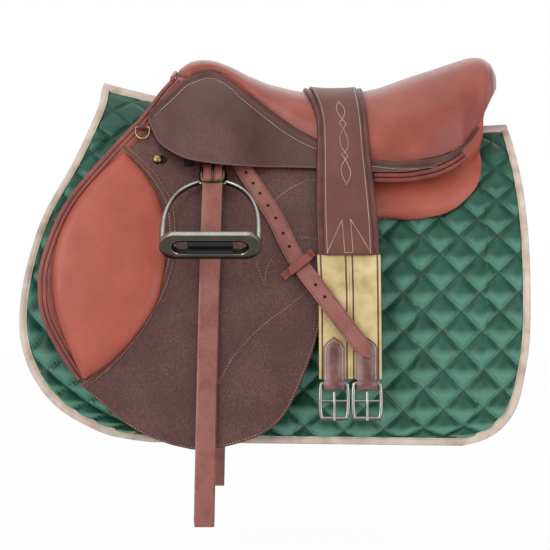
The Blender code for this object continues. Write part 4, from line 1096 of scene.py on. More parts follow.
@dataclass
class SideLeathers:
    """Panel, sweat flap, flap, knee pad, skirt and welts of one side."""

    shop: Shop
    side: Side
    room: float = 21.5

    @property
    def word(self) -> str:
        """Name of the side."""
        return self.side.value

    def lay(self, plan: Array, d: Array) -> tuple[Array, Array]:
        """A line of the side view put on a layer, and the ways the saddle's side looks there."""
        on = wrap(plan, d, self.side)
        return on, facing(on, self.side)

    def panel(self) -> None:
        """Wool-stuffed cushion against the pad."""
        patch = Patch(PANEL_FRONT, PANEL_REAR, 90, 70, power=1.3)
        plan, edge = patch.plan()
        t = np.linspace(0, 1, patch.rows)[:, None]
        u = dense_ends(patch.cols)[None, :]
        crown = (1 - np.abs(2 * u - 1)**5) * (1 - np.maximum(0, 2 * t - 1)**3) * np.minimum(1, 0.55 + 3 * t)
        x, z = plan[..., 0], plan[..., 1]
        low = np.maximum(30, half_width(x, z, PANEL_IN + 2.2 * (1 - t), raised=False))
        high = half_width(x, z, PANEL_IN + 4 + (3 + 14.5 * crown) * rounded(edge, 16))
        high = np.maximum(low + 3, high)
        shell = slab(*(np.stack([x, self.side.sign * w, z], -1) for w in (high, low)))
        self.shop.add(f"panel_cushion_{self.word}", shell, "panel", "panel_leather",
                      f"panel_{self.word}", fill=0.8)

    def sheet(self, name: str, patch: Patch, base: float, thick: float, finish: str, slot: str, node: str,
              relief: Callable[[Array, Array], Array] | None = None,
              swell: Callable[[Array], Array] | None = None) -> None:
        """A leather sheet on the saddle's side, with a rounded edge.

        Args:
            name: its name, without the side.
            patch: its place in the side view.
            base: the layer that its back lies on.
            thick: its thickness.
            finish: its finish.
            slot: the record's material slot.
            node: the CAD node that it stands for, without the side.
            relief: extra height for the points and their way in from the edge.
            swell: how far the whole sheet stands off its layer.
        """
        plan, edge = patch.plan()
        off = swell(plan) if swell else 0.0
        top = base + off + thick - EDGE_RADIUS + EDGE_RADIUS * rounded(edge, EDGE_RADIUS)
        if relief:
            top = top + relief(plan, edge)
        shell = slab(*(wrap(plan, d, self.side) for d in (top, base + off + 0 * edge)))
        self.shop.add(f"{name}_{self.word}", shell, finish, slot, f"{node}_{self.word}",
                      marks={"burnish": groove(edge, 1.6)})

    def flap(self) -> None:
        """Sweat flap and main flap, with sunk seams and tan stitches."""
        patch = Patch([(x + 3, z) for x, z in FLAP_FRONT], [(x - 6, z + 4) for x, z in FLAP_REAR], 120, 40,
                      0.24, 0.985)
        self.sheet("sweat_flap_leather", patch, 36.4, 3, "welt", "sweat_leather", "sweat_flap")
        seams = [curve(p, 3) for p in STITCH_LINES.values()]

        def sunk(plan: Array, edge: Array) -> Array:
            deep = sum(groove(distance_to(plan, s), 1.6) for s in seams)
            return -0.5 * np.minimum(1, deep) - 0.3 * groove(edge - 2.8, 1.2)

        patch = Patch([(x + 2.5, z) for x, z in FLAP_FRONT], FLAP_REAR, 170, 120)
        self.sheet("flap_leather", patch, FLAP_IN, 4, "flap", "flap_leather", "flap", sunk)
        outline = curve(FLAP_REAR[2:] + FLAP_FRONT[9:][::-1], 3)
        outline = outline - inward(outline) * 2.8
        lines = [self.lay(p, FLAP_OUT - 0.1) for p in [*seams, curve(outline[2:-2], 3)]]
        self.shop.sew(f"flap_stitches_{self.word}", lines, "tan", "flap_leather")

    def front_welts(self) -> None:
        """Two brick rolls, a flat facing and its stitches down the front of the flap."""
        front = curve(FLAP_FRONT, 3.0)
        into = inward(front)
        share = np.linspace(0, 1, len(front))
        keep = share < 0.735
        shells = []
        for inset, wide, high in ((3.5, 5.8, 1.9), (9.9, 5.4, 2.2)):
            on, ways = self.lay((front + into * inset)[keep], FLAP_OUT + 0.25 * high)
            shells.append(rod(on, np.cross(ways, tangents(on)), wide, high * 1.7))
        self.shop.add(f"flap_front_welts_{self.word}", joined(shells), "rolled", "knee_leather")
        # The facing between the rolls and the knee pad is brick leather drawn in the darker welt finish,
        # partly as painted shade in that gap.
        path = (front + into * 17.0)[(share > 0.1) & (share < 0.74)]
        self.shop.add(f"flap_front_facing_{self.word}",
                      band(*self.lay(path, FLAP_OUT + 0.3), 9.0, 0.8, corner=0.3), "welt", "knee_leather")
        line = self.lay((front + into * 15.2)[keep], FLAP_OUT + 0.75)
        self.shop.sew(f"flap_front_stitches_{self.word}", [line], "tan", "knee_leather", 4.0, 3.0, 0.9)

    def knee_pad(self) -> None:
        """Soft knee cushion, and the double sewn strip along its rear."""
        patch = Patch(KNEE_FRONT, KNEE_REAR, 90, 60)
        plan, edge = patch.plan()
        t, u = np.linspace(0, 1, patch.rows)[:, None], dense_ends(patch.cols)[None, :]
        belly = 0.55 + 0.45 * (np.sin(math.pi * np.clip(u, 0, 1))**0.5
                               * np.sin(math.pi * np.clip(t, 0, 1))**0.4)
        fold = 0.25 * np.sin(plan[..., 0] / 9 + plan[..., 1] / 23) * groove(edge - 9, 5)
        top = STRAP_IN + 2 + 12.5 * rounded(edge, 14) * belly + fold
        shell = slab(*(wrap(plan, d, self.side) for d in (top, STRAP_IN - 0.4 + 0 * edge)))
        self.shop.add(f"knee_cushion_{self.word}", shell, "knee", "knee_leather", f"knee_pad_{self.word}",
                      fill=0.7, sharp=60, marks={"burnish": groove(edge, 1.5)})
        path = curve(KNEE_STRIP, 3)
        self.shop.add(f"knee_strip_{self.word}",
                      band(*self.lay(path, FLAP_OUT + 0.6), 9.5, 1.4, corner=0.6, crown=0.5), "band",
                      "knee_leather")
        lines = [self.lay(path + inward(path) * off, FLAP_OUT + 1.6) for off in (-3.4, 3.4)]
        self.shop.sew(f"knee_stitches_{self.word}", lines, "tan", "knee_leather", 4.2, 3.2, 0.95)

    def bar_room(self, plan: Array) -> Array:
        """How far the skirt swells over the stirrup bar."""
        x, z = plan[..., 0], plan[..., 1]
        top, low = (np.interp(x, *np.array(line, float).T) for line in (SKIRT_TOP, SKIRT_LOW))
        u = np.clip((top - z) / np.maximum(top - low, 1), 0, 1)
        return self.room * np.exp(-((x + 85) / 62)**4) * smooth(0, 0.55, u)

    def skirt(self) -> None:
        """Skirt over the bar, its sewn top and its rolled lower edge."""
        roll = curve(SEAT_ROLL, 3)

        def relief(plan: Array, edge: Array) -> Array:
            away = distance_to(plan, roll)
            return 2.0 * groove(away - 3.0, 3.6) - 0.9 * groove(away - 11.5, 1.5) + 0.7 * groove(edge - 2, 2)

        def over(line: Array, lift_by: float) -> tuple[Array, Array]:
            return self.lay(line, SKIRT_OUT + lift_by + self.bar_room(line))

        patch = Patch(SKIRT_TOP, SKIRT_LOW, 190, 70, first=0.005)
        self.sheet("skirt_leather", patch, SKIRT_IN - 0.2, 3.5, "skirt", "skirt_leather", "skirt", relief,
                   self.bar_room)
        into = inward(roll)
        inner = roll - into * 11.5
        line = inner[(inner[:, 0] > -168) & (inner[:, 0] < 262)]
        self.shop.sew(f"skirt_stitches_{self.word}", [over(line, 0.1)], "cream", "skirt_leather",
                      4.0, 3.1, 1.0)
        low = curve(SKIRT_LOW, 3)[2:-2]
        low[:, 1] += 1.6
        # Painted highlight: the rolled lower edge is drawn lighter along its whole length.
        self.shop.add(f"skirt_rolled_edge_{self.word}", rod(*over(low, 0.2), 1.8, 2.4, sides=10), "skirt",
                      "skirt_leather", marks={"polish": 1.0})
        cut = (roll[:, 0] > -160) & (roll[:, 0] < 258)
        for name, off, finish, thick, wide in (("roll", 4.2, "band", 4.2, 8.6),
                                               ("edge_line", 0.2, "knee", 2.4, 1.5)):
            shell = rod(*over((roll - into * off)[cut], 0.2), thick, wide, sides=12)
            self.shop.add(f"seat_seam_{name}_{self.word}", shell, finish, "skirt_leather")

    def rear_pipes(self) -> None:
        """Two rolled pipings between the seat and the rear panel."""
        path = curve(SKIRT_LOW, 2.0)
        t = np.linspace(0, 1, len(path))
        path = path[(t > 0.66) & (path[:, 0] < 260)]
        shells = [rod(wrap(path - inward(path) * off, SKIRT_IN + 1.0, self.side), UPRIGHT, wide, wide)
                  for off, wide in ((4.6, 7.0), (11.2, 6.0))]
        self.shop.add(f"rear_pipings_{self.word}", joined(shells), "welt", "piping_leather",
                      f"rear_piping_{self.word}")

    def build(self) -> None:
        """Makes every leather of the side."""
        self.panel()
        self.flap()
        self.front_welts()
        self.knee_pad()
        self.skirt()
        self.rear_pipes()


# The girth


GIRTH_SHAPE = [(-240, 101, 82), (-190, 100, 84), (-138, 98.5, 84), (-95, 97, 80), (-55, 96, 75.5),
               (-6, 94, 71), (20, 89, 76), (50, 82, 85)]
GIRTH_TOP_X, GIRTH_WIDTH, OVERLAY_WIDTH = 82.0, 82.0, 64.0
GIRTH_DROP = 400.0
GIRTH_END, ELASTIC_END = -190.0, -354.5


class GirthForm:
    """Places on the girth: across its width, along it (0 over the seat, 1 at its seam) and its height."""

    def __init__(self, form: SeatForm) -> None:
        """Smooths the girth's outline."""
        self.form = form
        heights = np.linspace(-260, 60, 321)
        rows = np.array(GIRTH_SHAPE, float)
        kernel = np.hanning(41) / np.hanning(41).sum()
        self.heights = heights
        eased = (np.pad(np.interp(heights, rows[:, 0], rows[:, k]), 20, mode="edge") for k in (1, 2))
        self.shape = [np.convolve(line, kernel, "valid") for line in eased]
        steps = np.linspace(0, 2.2, 1101)
        self.steps = steps
        self.drops = self.section(np.full_like(steps, GIRTH_TOP_X), steps)[1]

    def section(self, x: Array, q: Array) -> tuple[Array, Array]:
        """Half width and height of the saddle's outside at x, q along the girth."""
        w, z = dome(*self.form.at(x), math.pi / 2 * np.clip(q, 0, 1))
        seam = self.form.at(x)[1]
        level = np.clip((q - 1) / 0.3, 0, 1)
        low = seam * (1 - level) + float(self.form.at(GIRTH_TOP_X)[1]) * level - (q - 1) * GIRTH_DROP
        side = half_width(x, low, SKIRT_OUT + 0.8 * smooth(1, 1.06, q))
        return np.where(q <= 1, w, side), np.where(q <= 1, z, low)

    def soft(self, x: Array, q: Array) -> tuple[Array, Array]:
        """The section, eased along the girth so that its leather bridges the seat's seam."""
        w, z = 0.0, 0.0
        for step, share in ((-0.1, 0.08), (-0.065, 0.14), (-0.03, 0.18), (0.0, 0.2), (0.03, 0.18),
                            (0.065, 0.14), (0.1, 0.08)):
            wa, za = self.section(x, np.abs(q + step))
            w = w + share * np.where(q + step < 0, -wa, wa)
            z = z + share * za
        return w, z

    def q_at(self, z: Array) -> Array:
        """Place along the girth for a height."""
        return np.interp(-np.asarray(z, float), -self.drops, self.steps)

    def point(self, across: Array, q: Array, sign: Array, height: Array) -> Array:
        """Points of the girth.

        Args:
            across: millimetres from its middle line.
            q: place along it, 0 or more.
            sign: side of the saddle, -1 or 1.
            height: how far over the saddle.

        Returns:
            The points.
        """
        across, q, sign, height = np.broadcast_arrays(across, q, sign, height)
        z0 = self.section(np.full(q.shape, GIRTH_TOP_X), q)[1]
        x = (np.interp(z0, self.heights, self.shape[0])
             + across * np.interp(z0, self.heights, self.shape[1]) / GIRTH_WIDTH)
        wa, za = self.soft(x, q - 0.02)
        wb, zb = self.soft(x, q + 0.02)
        along = unit(np.stack([wb - wa, zb - za], -1))
        w, z = self.soft(x, q)
        w, z = w + np.abs(along[..., 1]) * height, z + np.abs(along[..., 0]) * height
        return np.stack([x, sign * w, z], -1)

    def ways(self, across: Array, q: Array, sign: Array) -> Array:
        """Directions that the girth looks to."""
        return unit(self.point(across, q, sign, 2.0) - self.point(across, q, sign, 0.0))


@dataclass
class Girth:
    """Leather girth laid over the seat, with elastics, chapes and roller buckles at its ends."""

    shop: Shop
    form: GirthForm
    base: float = 1.2
    thick: float = 5.0
    offsets: tuple[float, float] = (-22.0, 22.0)
    hinge_drop: float = -361.0

    def sheet(self, name: str, finish: str, slot: str, node: str, q: Array, wide: float, low: float,
              thick: float, radius: float, hollow: float = 0.0) -> None:
        """A layer of the girth with rounded edges.

        Args:
            name: name of the piece.
            finish: its finish.
            slot: the record's material slot.
            node: the CAD node that it stands for.
            q: places along the girth, below 0 on the far side.
            wide: its width.
            low: height of its underside.
            thick: its thickness.
            radius: radius of its edges.
            hollow: depth of the channel between its rolled edges.
        """
        across, along = np.meshgrid((dense_ends(33, 0.9) - 0.5) * wide, q)
        edge = np.minimum(wide / 2 - np.abs(across), 400 * (np.abs(along - q[0])))
        edge = np.minimum(edge, 400 * np.abs(along - q[-1]))
        top = low + thick - radius + radius * rounded(edge, radius) - hollow * smooth(4, 9, edge)
        sign = np.where(along < 0, -1, 1)
        shell = slab(*(self.form.point(across, np.abs(along), sign, height) for height in (top, low)))
        self.shop.add(name, shell, finish, slot, node, marks={"burnish": groove(edge, 1.3)})

    def laid(self, across: Array, q: Array, sign: int, height: Array) -> tuple[Array, Array]:
        """A line on the girth, and the ways the girth looks there."""
        return self.form.point(across, q, sign, height), self.form.ways(across, q, sign)

    def line(self, spots: Points, sign: int, height: float, sharp: bool = False) -> tuple[Array, Array]:
        """A line of sewing through places given as across and height, with sharp or smooth corners."""
        step = 2.0
        plan = curve(spots, step)
        if sharp:
            p = np.array(spots, float)
            counts = np.maximum(2, (np.linalg.norm(np.diff(p, axis=0), axis=1) / step).astype(int))
            legs = [np.linspace(a, b, n, endpoint=False) for a, b, n in zip(p, p[1:], counts)]
            plan = np.concatenate([*legs, p[-1:]])
        return self.laid(plan[:, 0], self.form.q_at(plan[:, 1]), sign, height)

    def body(self) -> None:
        """The two leather layers over the seat, and their sewing."""
        top, end = self.base + self.thick, float(self.form.q_at(GIRTH_END))
        q = np.linspace(-end, end, 241)
        self.sheet("girth_lining", "girth", "girth_leather", "girth_body", q, GIRTH_WIDTH, self.base,
                   self.thick, 2.4, 0.4)
        self.sheet("girth_face", "overlay", "girth_overlay_leather", "girth_overlay", q, OVERLAY_WIDTH,
                   top + 0.2, 3.0, 1.1)
        lines = []
        for sign in (-1, 1):
            edges = [([(across, z) for z in np.linspace(46, GIRTH_END + 3, 40)], False)
                     for across in (-28.5, 28.5)]
            lines += [self.line(spots, sign, top + 3.3, sharp) for spots, sharp in edges + self.figures()]
        self.shop.sew("girth_stitches", lines, "cream", "girth_overlay_leather", 2.9, 2.5, 1.0)

    def figures(self) -> list[tuple[Points, bool]]:
        """Fancy sewing of the face: ovals and diamonds in a row, and two triangles at the end."""
        out: list[tuple[Points, bool]] = []
        middle, base = 1.0, GIRTH_END + 3
        for top, low, half in ((22, 1, 6.2), (-10, -40, 6.4), (-54, -91, 6.8)):
            out += [([(middle + way * half * math.sin(a), top + (low - top) * a / math.pi)
                      for a in np.linspace(0, math.pi, 15)], False) for way in (-1, 1)]
        for centre in (-4.5, -47):
            out.append(([(middle, centre + 5.5), (middle + 5.2, centre), (middle, centre - 5.5),
                         (middle - 5.2, centre), (middle, centre + 5.5)], True))
        out.append(([(-28, base + 1), (-7.5, base + 44), (-5.5, base), (5.5, base), (4, base + 46),
                     (28, base + 2)], True))
        return out

    def elastic(self, side: Side, number: int) -> None:
        """One woven elastic with a brown stripe along each edge."""
        offset, name = self.offsets[number - 1] * 0.955, f"{side.value}_{number}"
        q, half = self.form.q_at(np.linspace(GIRTH_END + 1.5, ELASTIC_END, 90)), 21
        across, along = np.meshgrid((dense_ends(21, 0.9) - 0.5) * half * 2, q)
        top = self.base + 2.2 + 0.9 * rounded(half - np.abs(across), 0.9)
        shell = slab(*(self.form.point(offset + across, along, side.sign, height)
                       for height in (top, self.base + 1)))
        self.shop.add(f"elastic_web_{name}", shell, "elastic", "elastic", f"girth_elastic_{name}")
        shells = [band(*self.laid(offset + place, q, side.sign, self.base + 3.12), 2.3, 0.5, corner=0.2)
                  for place in (-16.6, 16.6)]
        self.shop.add(f"elastic_stripes_{name}", joined(shells), "stripe", "elastic")

    def chape(self, side: Side, number: int) -> None:
        """Glazed leather tab, folded round the buckle's bar and sewn down both edges."""
        offset, name, sign = self.offsets[number - 1], f"{side.value}_{number}", side.sign
        run = curve([(-299, 6.2), (-312, 6.2), (-326, 6.2), (-340, 6.4), (-350, 7.2), (-356.5, 9.0),
                     (-361.5, 10.6), (-366.5, 9.6), (-369, 6.2), (-366.5, 3.0), (-361.5, 1.9),
                     (-357.5, 1.9)], 1.5)
        q, high = self.form.q_at(run[:, 0]), run[:, 1] + self.base - 1.2
        reach = np.concatenate([[0], np.cumsum(np.linalg.norm(np.diff(run, axis=0), axis=1))])
        wide = 28 * np.minimum(1, np.maximum(0.02, np.sin(np.clip(reach / 16, 0, 1) * math.pi / 2))**0.9)
        path = self.form.point(offset + 0 * q, q, sign, high)
        face = unit(np.cross(tangents(path), ALONG) * sign)
        self.shop.add(f"chape_{name}", band(path, face, wide, 2.4, corner=0.8, crown=0.4), "chape",
                      "chape_leather", f"girth_chape_{name}", sharp=60)
        keep = (reach > 14) & (run[:, 0] > -355) & (reach < 70)
        lines = [self.laid(offset + place, q[keep], sign, high[keep] + 1.35) for place in (-11.6, 11.6)]
        tip = self.form.q_at(np.array([-315, -308, -303.5, -308, -315]))
        spots = np.array([-11.6, -8.2, 0, 8.2, 11.6]) + offset
        lines.append(self.laid(spots, tip, sign, 7.5 + self.base - 1.2))
        self.shop.sew(f"chape_stitches_{name}", lines, "cream", "chape_leather", 3.0, 2.5, 1.1)

    def buckle(self, side: Side, number: int) -> None:
        """Roller buckle: rounded frame, middle bar with a roller below, and its tongue."""
        offset, name = self.offsets[number - 1], f"{side.value}_{number}"
        tall, half = 46.0, 17.5
        middle = tall * 0.5
        ends = self.form.q_at([self.hinge_drop, self.hinge_drop - tall])
        hinge, lower = self.form.point(offset, ends, side.sign, self.base + 4.8)
        down = unit(lower - hinge)
        out = np.cross(ALONG, down) * side.sign

        def at(x: float, s: float, n: float = 0.0) -> Array:
            return hinge + ALONG * x + down * s + out * n

        corner = [(half, 3), (half + 1, 14), (half + 1.2, middle), (half + 1, tall - 14), (half, tall - 4),
                  (half - 3.5, tall)]
        outline = [(-half, 3), (-half + 3, 0), (half - 3, 0), *corner, (0, tall + 0.4),
                   *((-x, s) for x, s in corner[:0:-1])]
        path = np.array([at(x, s) for x, s in closed_curve(outline, 4)])
        shells = [rod(path, out, 4.6, 5.6, closed=True, sides=12)]
        for s, thick in ((middle, 4.0), (tall, 6.0)):
            shells.append(rod(np.linspace(at(-half - 1, s), at(half + 1, s), 9), out, thick, thick))
        self.shop.add(f"roller_buckle_{name}", joined(shells), "steel", "buckle_steel",
                      f"girth_buckle_{name}", body=f"buckle_{name}", sharp=50)
        ring = [at(0, middle - 3.6 * math.sin(a), 3.6 * math.cos(a)) for a in turns(16)]
        line = curve([at(0, middle - 12, 2.4), at(0, middle - 4, 3.8), at(0, middle + 2, 4.4),
                      at(0, middle + 12, 4.2), at(0, tall + 2.5, 4.4)], 1.5)
        shells = [rod(np.array(ring), ALONG, 4.4, 2.0, closed=True, sides=8),
                  rod(line, ALONG, 3.8, 2.6, sides=10)]
        self.shop.add(f"buckle_pin_{name}", joined(shells), "steel", "buckle_steel",
                      f"buckle_tongue_{name}", body=f"tongue_{name}", sharp=50)

    def build(self) -> None:
        """Makes the whole girth."""
        self.body()
        for side in Side:
            for number in (1, 2):
                self.elastic(side, number)
                self.chape(side, number)
                self.buckle(side, number)


# Stirrup, straps and small metal


BAR_X, BAR_Z, EYE_Z, STRAP_FOOT = -85.0, -54.0, -80.0, -549.0
GIRTH_OVER, HOLE_RADIUS = 9.2, 2.3
TAIL_POINTS = [(-50, -58), (-38, -78), (-18, -108), (2, -140), (20, -178), (35, -202), (47, -219),
               (58, -233), (75, -256), (92, -279), (110, -302), (122, -318), (128, -326)]
HOLE_HEIGHTS = (-75, -89, -104, -121, -139, -158, -176, -212, -228, -245)


def strap_x(z: Array) -> Array:
    """The hanging strap leans towards the horse's shoulder as it goes down."""
    return BAR_X + 0.5 - 10.0 * (BAR_Z - z) / (BAR_Z - STRAP_FOOT)


@dataclass
class Stirrup:
    """Run-up stirrup of one side: iron, leather, its buckle, free end and keeper."""

    shop: Shop
    side: Side
    thick: float = 3.6
    wide: float = 27.0
    bar_out: float = 8.5
    eye_out: float = 8.2

    def hang(self, z: float, out: float) -> Array:
        """Point of a hanging run, out from the flap."""
        x = strap_x(z)
        return np.array([x, self.side.sign * (half_width(x, z, FLAP_OUT) + out), z])

    def on_side(self, plan: Array) -> Array:
        """Points given as x, z and their layer, on this side."""
        return wrap(plan[:, :2], plan[:, 2], self.side)

    def eye(self) -> float:
        """How far out from the middle the iron's eye hangs."""
        return self.side.sign * (float(half_width(BAR_X, EYE_Z, FLAP_OUT)) + self.eye_out)

    def leather(self) -> None:
        """The doubled strap, its edge lines and its buckle."""
        side, word = self.side.sign, self.side.value
        bar_w = float(half_width(BAR_X, BAR_Z, FLAP_OUT)) + self.bar_out
        gap, room = 0.8, 0.5
        lie, fold = STRAP_IN + 0.6 - FLAP_OUT + self.thick / 2, self.thick + gap
        inner = [self.hang(z, 0) for z in (-72.0, -88.0)]
        for p in inner:
            p[1] = self.eye()
        runs = (-108, -130, -160, -190, -220, -260, -300, -340, -380, -420, -455, -500, -538)
        inner += [self.hang(z, lie) for z in runs]
        outer = [self.hang(z, lie + fold) for z in runs[:3:-1]]
        outer += [self.hang(z, lie + fold + extra) for z, extra in ((-180, 1), (-145, 3), (-120, 5))]
        outer += [self.hang(z, out) for z, out in ((-102, 17), (-88, 22), (-79, 20.5), (-66, 12))]
        half_wide, half_high = (bar + room + self.thick / 2 for bar in (1.7, 2.5))
        head = [np.array([strap_x(BAR_Z), side * (bar_w + half_wide * math.cos(a)),
                          BAR_Z + half_high * math.sin(a)]) for a in np.radians(-15 + 35.0 * np.arange(7))]
        head.append(np.array([strap_x(BAR_Z), side * (bar_w - 2.5), BAR_Z - 6.5]))
        bottom = [self.hang(STRAP_FOOT, lie + share * fold) for share in (0.1, 0.9)]
        loop = closed_curve(head + inner + bottom + outer, 4)
        shell = band(loop, np.cross(ALONG, tangents(loop, True)), self.wide, self.thick, closed=True,
                     crown=0.25)
        hand = {"body": f"leather_{word}"}
        self.shop.add(f"stirrup_strap_{word}", shell, "strap", "strap_leather", f"stirrup_leather_{word}",
                      sharp=55, **hand)
        run = curve([self.hang(z, lie + fold + 1.6) for z in np.linspace(-222, -545, 14)], 4)
        ways = facing(run, self.side)
        back = curve([self.hang(z, lie) for z in np.linspace(-112, -545, 18)], 4) + ALONG * -13.9
        light = [rod(run + ALONG * -13.0, ways, 0.7, 1.4), rod(back, facing(back, self.side), 3.2, 1.0)]
        dark = [rod(run + ALONG * x, ways, 0.5, 0.8) for x in (-11.2, 12.6)]
        for name, shells, finish in (("edges", light, "waxed"), ("creases", dark, "edge")):
            self.shop.add(f"strap_{name}_hanging_{word}", joined(shells), finish, "strap_leather", **hand)
        high, low = outer[-1], outer[-3]
        away = unit(np.array([0.0, high[2] - low[2], -(high[1] - low[1])]))
        away = away * (1 if away[1] * side > 0 else -1) * (self.thick / 2 + 1.6)
        spots = [(-15, 0.1), (-15, 0.5), (-15, 0.85), (-11.5, 1.05), (0, 1.1), (11.5, 1.05), (15, 0.85),
                 (15, 0.5), (15, 0.1), (0, 0.05)]
        frame = closed_curve([high + (low - high) * t + away + ALONG * x for x, t in spots], 4)
        pin = [high + (low - high) * t + away * f for t, f in ((0.05, 1.2), (0.6, 1.9), (1.16, 1.9))]
        shells = [rod(frame, np.array([0.0, 1.0, 0.0]), 3.4, 4.2, closed=True, sides=12),
                  rod(curve(pin, 1.5), ALONG, 3.6, 2.6, sides=10)]
        self.shop.add(f"leather_buckle_{word}", joined(shells), "gun", "bar_steel", sharp=50, **hand)

    def iron(self) -> None:
        """Polished bow and tread frame of the stirrup, tipped out as it hangs run up."""
        side, word = self.side.sign, self.side.value
        pivot = np.array([strap_x(EYE_Z), self.eye(), EYE_Z])
        tilt = math.radians(46)
        down = np.array([0, side * math.sin(tilt), -math.cos(tilt)])
        out = np.array([0, side * math.cos(tilt), math.sin(tilt)])

        def at(x: Array, s: Array, n: Array = 0.0) -> Array:
            x, s, n = (v[..., None] for v in np.broadcast_arrays(np.asarray(x, float), s, n))
            return pivot + x * ALONG + s * down + n * out

        reach, base = 63.5, 138.5
        a = np.linspace(-math.pi / 2, math.pi / 2, 61)
        x = reach * np.sign(a) * np.abs(np.sin(a))**0.9
        s = 10.5 + 95 * (1 - np.maximum(0, np.cos(a))**0.9)
        leg = np.linspace(base, 115, 4)
        x, s = np.concatenate([[-reach] * 4, x, [reach] * 4]), np.concatenate([leg, s, leg[::-1]])
        share = np.abs(x / reach)
        thick = 5.0 + 3.4 * share**2 * smooth(30, 105, s)
        shells = [rod(at(x, s), out, 9.0 - 1.5 * (1 - share), thick, sides=16)]
        eye = closed_curve([(-17.5, 13), (-17.5, 2), (-17.5, -4), (-15, -6.5), (0, -6.5), (15, -6.5),
                            (17.5, -4), (17.5, 2), (17.5, 13), (15, 15), (0, 15.3), (-15, 15)], 3)
        shells.append(rod(at(eye[:, 0], eye[:, 1]), out, 4.2, 4.2, closed=True, sides=12))
        turn = turns(72) + 0.01
        c, n = np.cos(turn), np.sin(turn)

        def ovals(rows: Points) -> Array:
            """Straight-sided ovals of half lengths and half widths, at heights about the tread."""
            return np.stack([at((hx - hn) * np.sign(c) + hn * c, base + s + 0 * c, hn * n)
                             for hx, hn, s in rows], 1)

        rows = [(67.5, 22, -3.0), (66.2, 20.7, -5.0), (51.0, 12.5, -5.0), (49.5, 11, -3.4), (49.5, 11, 3.4),
                (51.0, 12.5, 5.0), (64.6, 19.1, 5.0), (66.8, 21.3, 3.8), (67.5, 22, 2.0)]
        shells.append(sweep(ovals(rows), closed=True))
        self.shop.add(f"iron_bow_{word}", joined(shells), "steel", "iron_steel", f"stirrup_iron_{word}",
                      body=f"iron_{word}", sharp=35)
        # Painted shade: a blackened ring lines the tread's slot so that its inside reads dark.
        rows = [(49.9, 11.4, -4.2), (48.6, 10.1, -4.2), (48.6, 10.1, 4.2), (49.9, 11.4, 4.2)]
        self.shop.add(f"tread_slot_painted_shade_{word}", sweep(ovals(rows), closed=True), "black", "iron_steel",
                      body=f"iron_{word}")

    def tail(self) -> None:
        """Free end of the leather with its punched holes, and its keeper."""
        word = self.side.value
        over = SKIRT_OUT + GIRTH_OVER
        rows = [(x, z, STRAP_IN + 0.5 + self.thick / 2 + float(smooth(34, 52, x)) * (over - STRAP_IN + 0.5))
                for x, z in TAIL_POINTS]
        path = curve(rows, 2.0)
        path[:, 2] = np.convolve(np.pad(path[:, 2], 4, mode="edge"), np.ones(9) / 9, "valid")
        on = self.on_side(path)
        left = np.linalg.norm(np.diff(on, axis=0), axis=1)
        left = np.concatenate([np.cumsum(left[::-1])[::-1], [0]])
        wide = 24 * np.clip(1 - (1 - np.minimum(left, 21) / 21)**1.75, 0.08, 1)
        ways = facing(on, self.side)
        self.shop.add(f"strap_free_end_{word}", band(on, ways, wide, self.thick, corner=0.9, crown=0.3),
                      "strap", "strap_leather", f"leather_tail_{word}", sharp=55)
        ahead = tangents(on)
        across = unit(np.cross(ahead, ways))
        # The punched holes are near-black rings on the strap, their darkness painted shade.
        shells = []
        for z in HOLE_HEIGHTS:
            k = int(np.abs(path[:, 1] - z).argmin())
            centre, up = on[k] + ways[k] * (self.thick / 2 + 0.32), ways[k]
            ring = np.array([centre + (across[k] * math.cos(a) + ahead[k] * math.sin(a)) * HOLE_RADIUS
                             for a in turns(16)])
            shells.append(sweep(np.stack([ring - up * 0.6, ring + up * 0.1])))
        self.shop.add(f"strap_holes_{word}", joined(shells), "hole", "strap_leather")
        keep = left > 16
        lines = [(on + across * off + ways * (self.thick / 2 + 0.02))[keep] for off in (-9.6, 9.6)]
        shells = [rod(line, ways[keep], 0.5, 0.9, sides=6) for line in lines]
        self.shop.add(f"strap_creases_{word}", joined(shells), "edge", "strap_leather")

        spots = [(31 + 0.78 * s, -201.5 + 0.627 * s, STRAP_IN + d) for s, d in (
            (-27, 1.6), (-21, 1.6), (-16.5, 2.2), (-14, 6.5), (-11.5, 9.2), (3, 9.2), (17.5, 9.2), (20, 6.5),
            (22.5, 2.2), (27, 1.6))]
        on = self.on_side(curve(spots, 1.2))
        ahead = tangents(on)
        level = unit(np.cross(ahead, facing(on, self.side)))
        self.shop.add(f"leather_keeper_{word}",
                      band(on, np.cross(level, ahead), 11.5, 2.2, corner=0.7, crown=0.3), "rolled",
                      "keeper_leather", f"keeper_{word}", sharp=55)

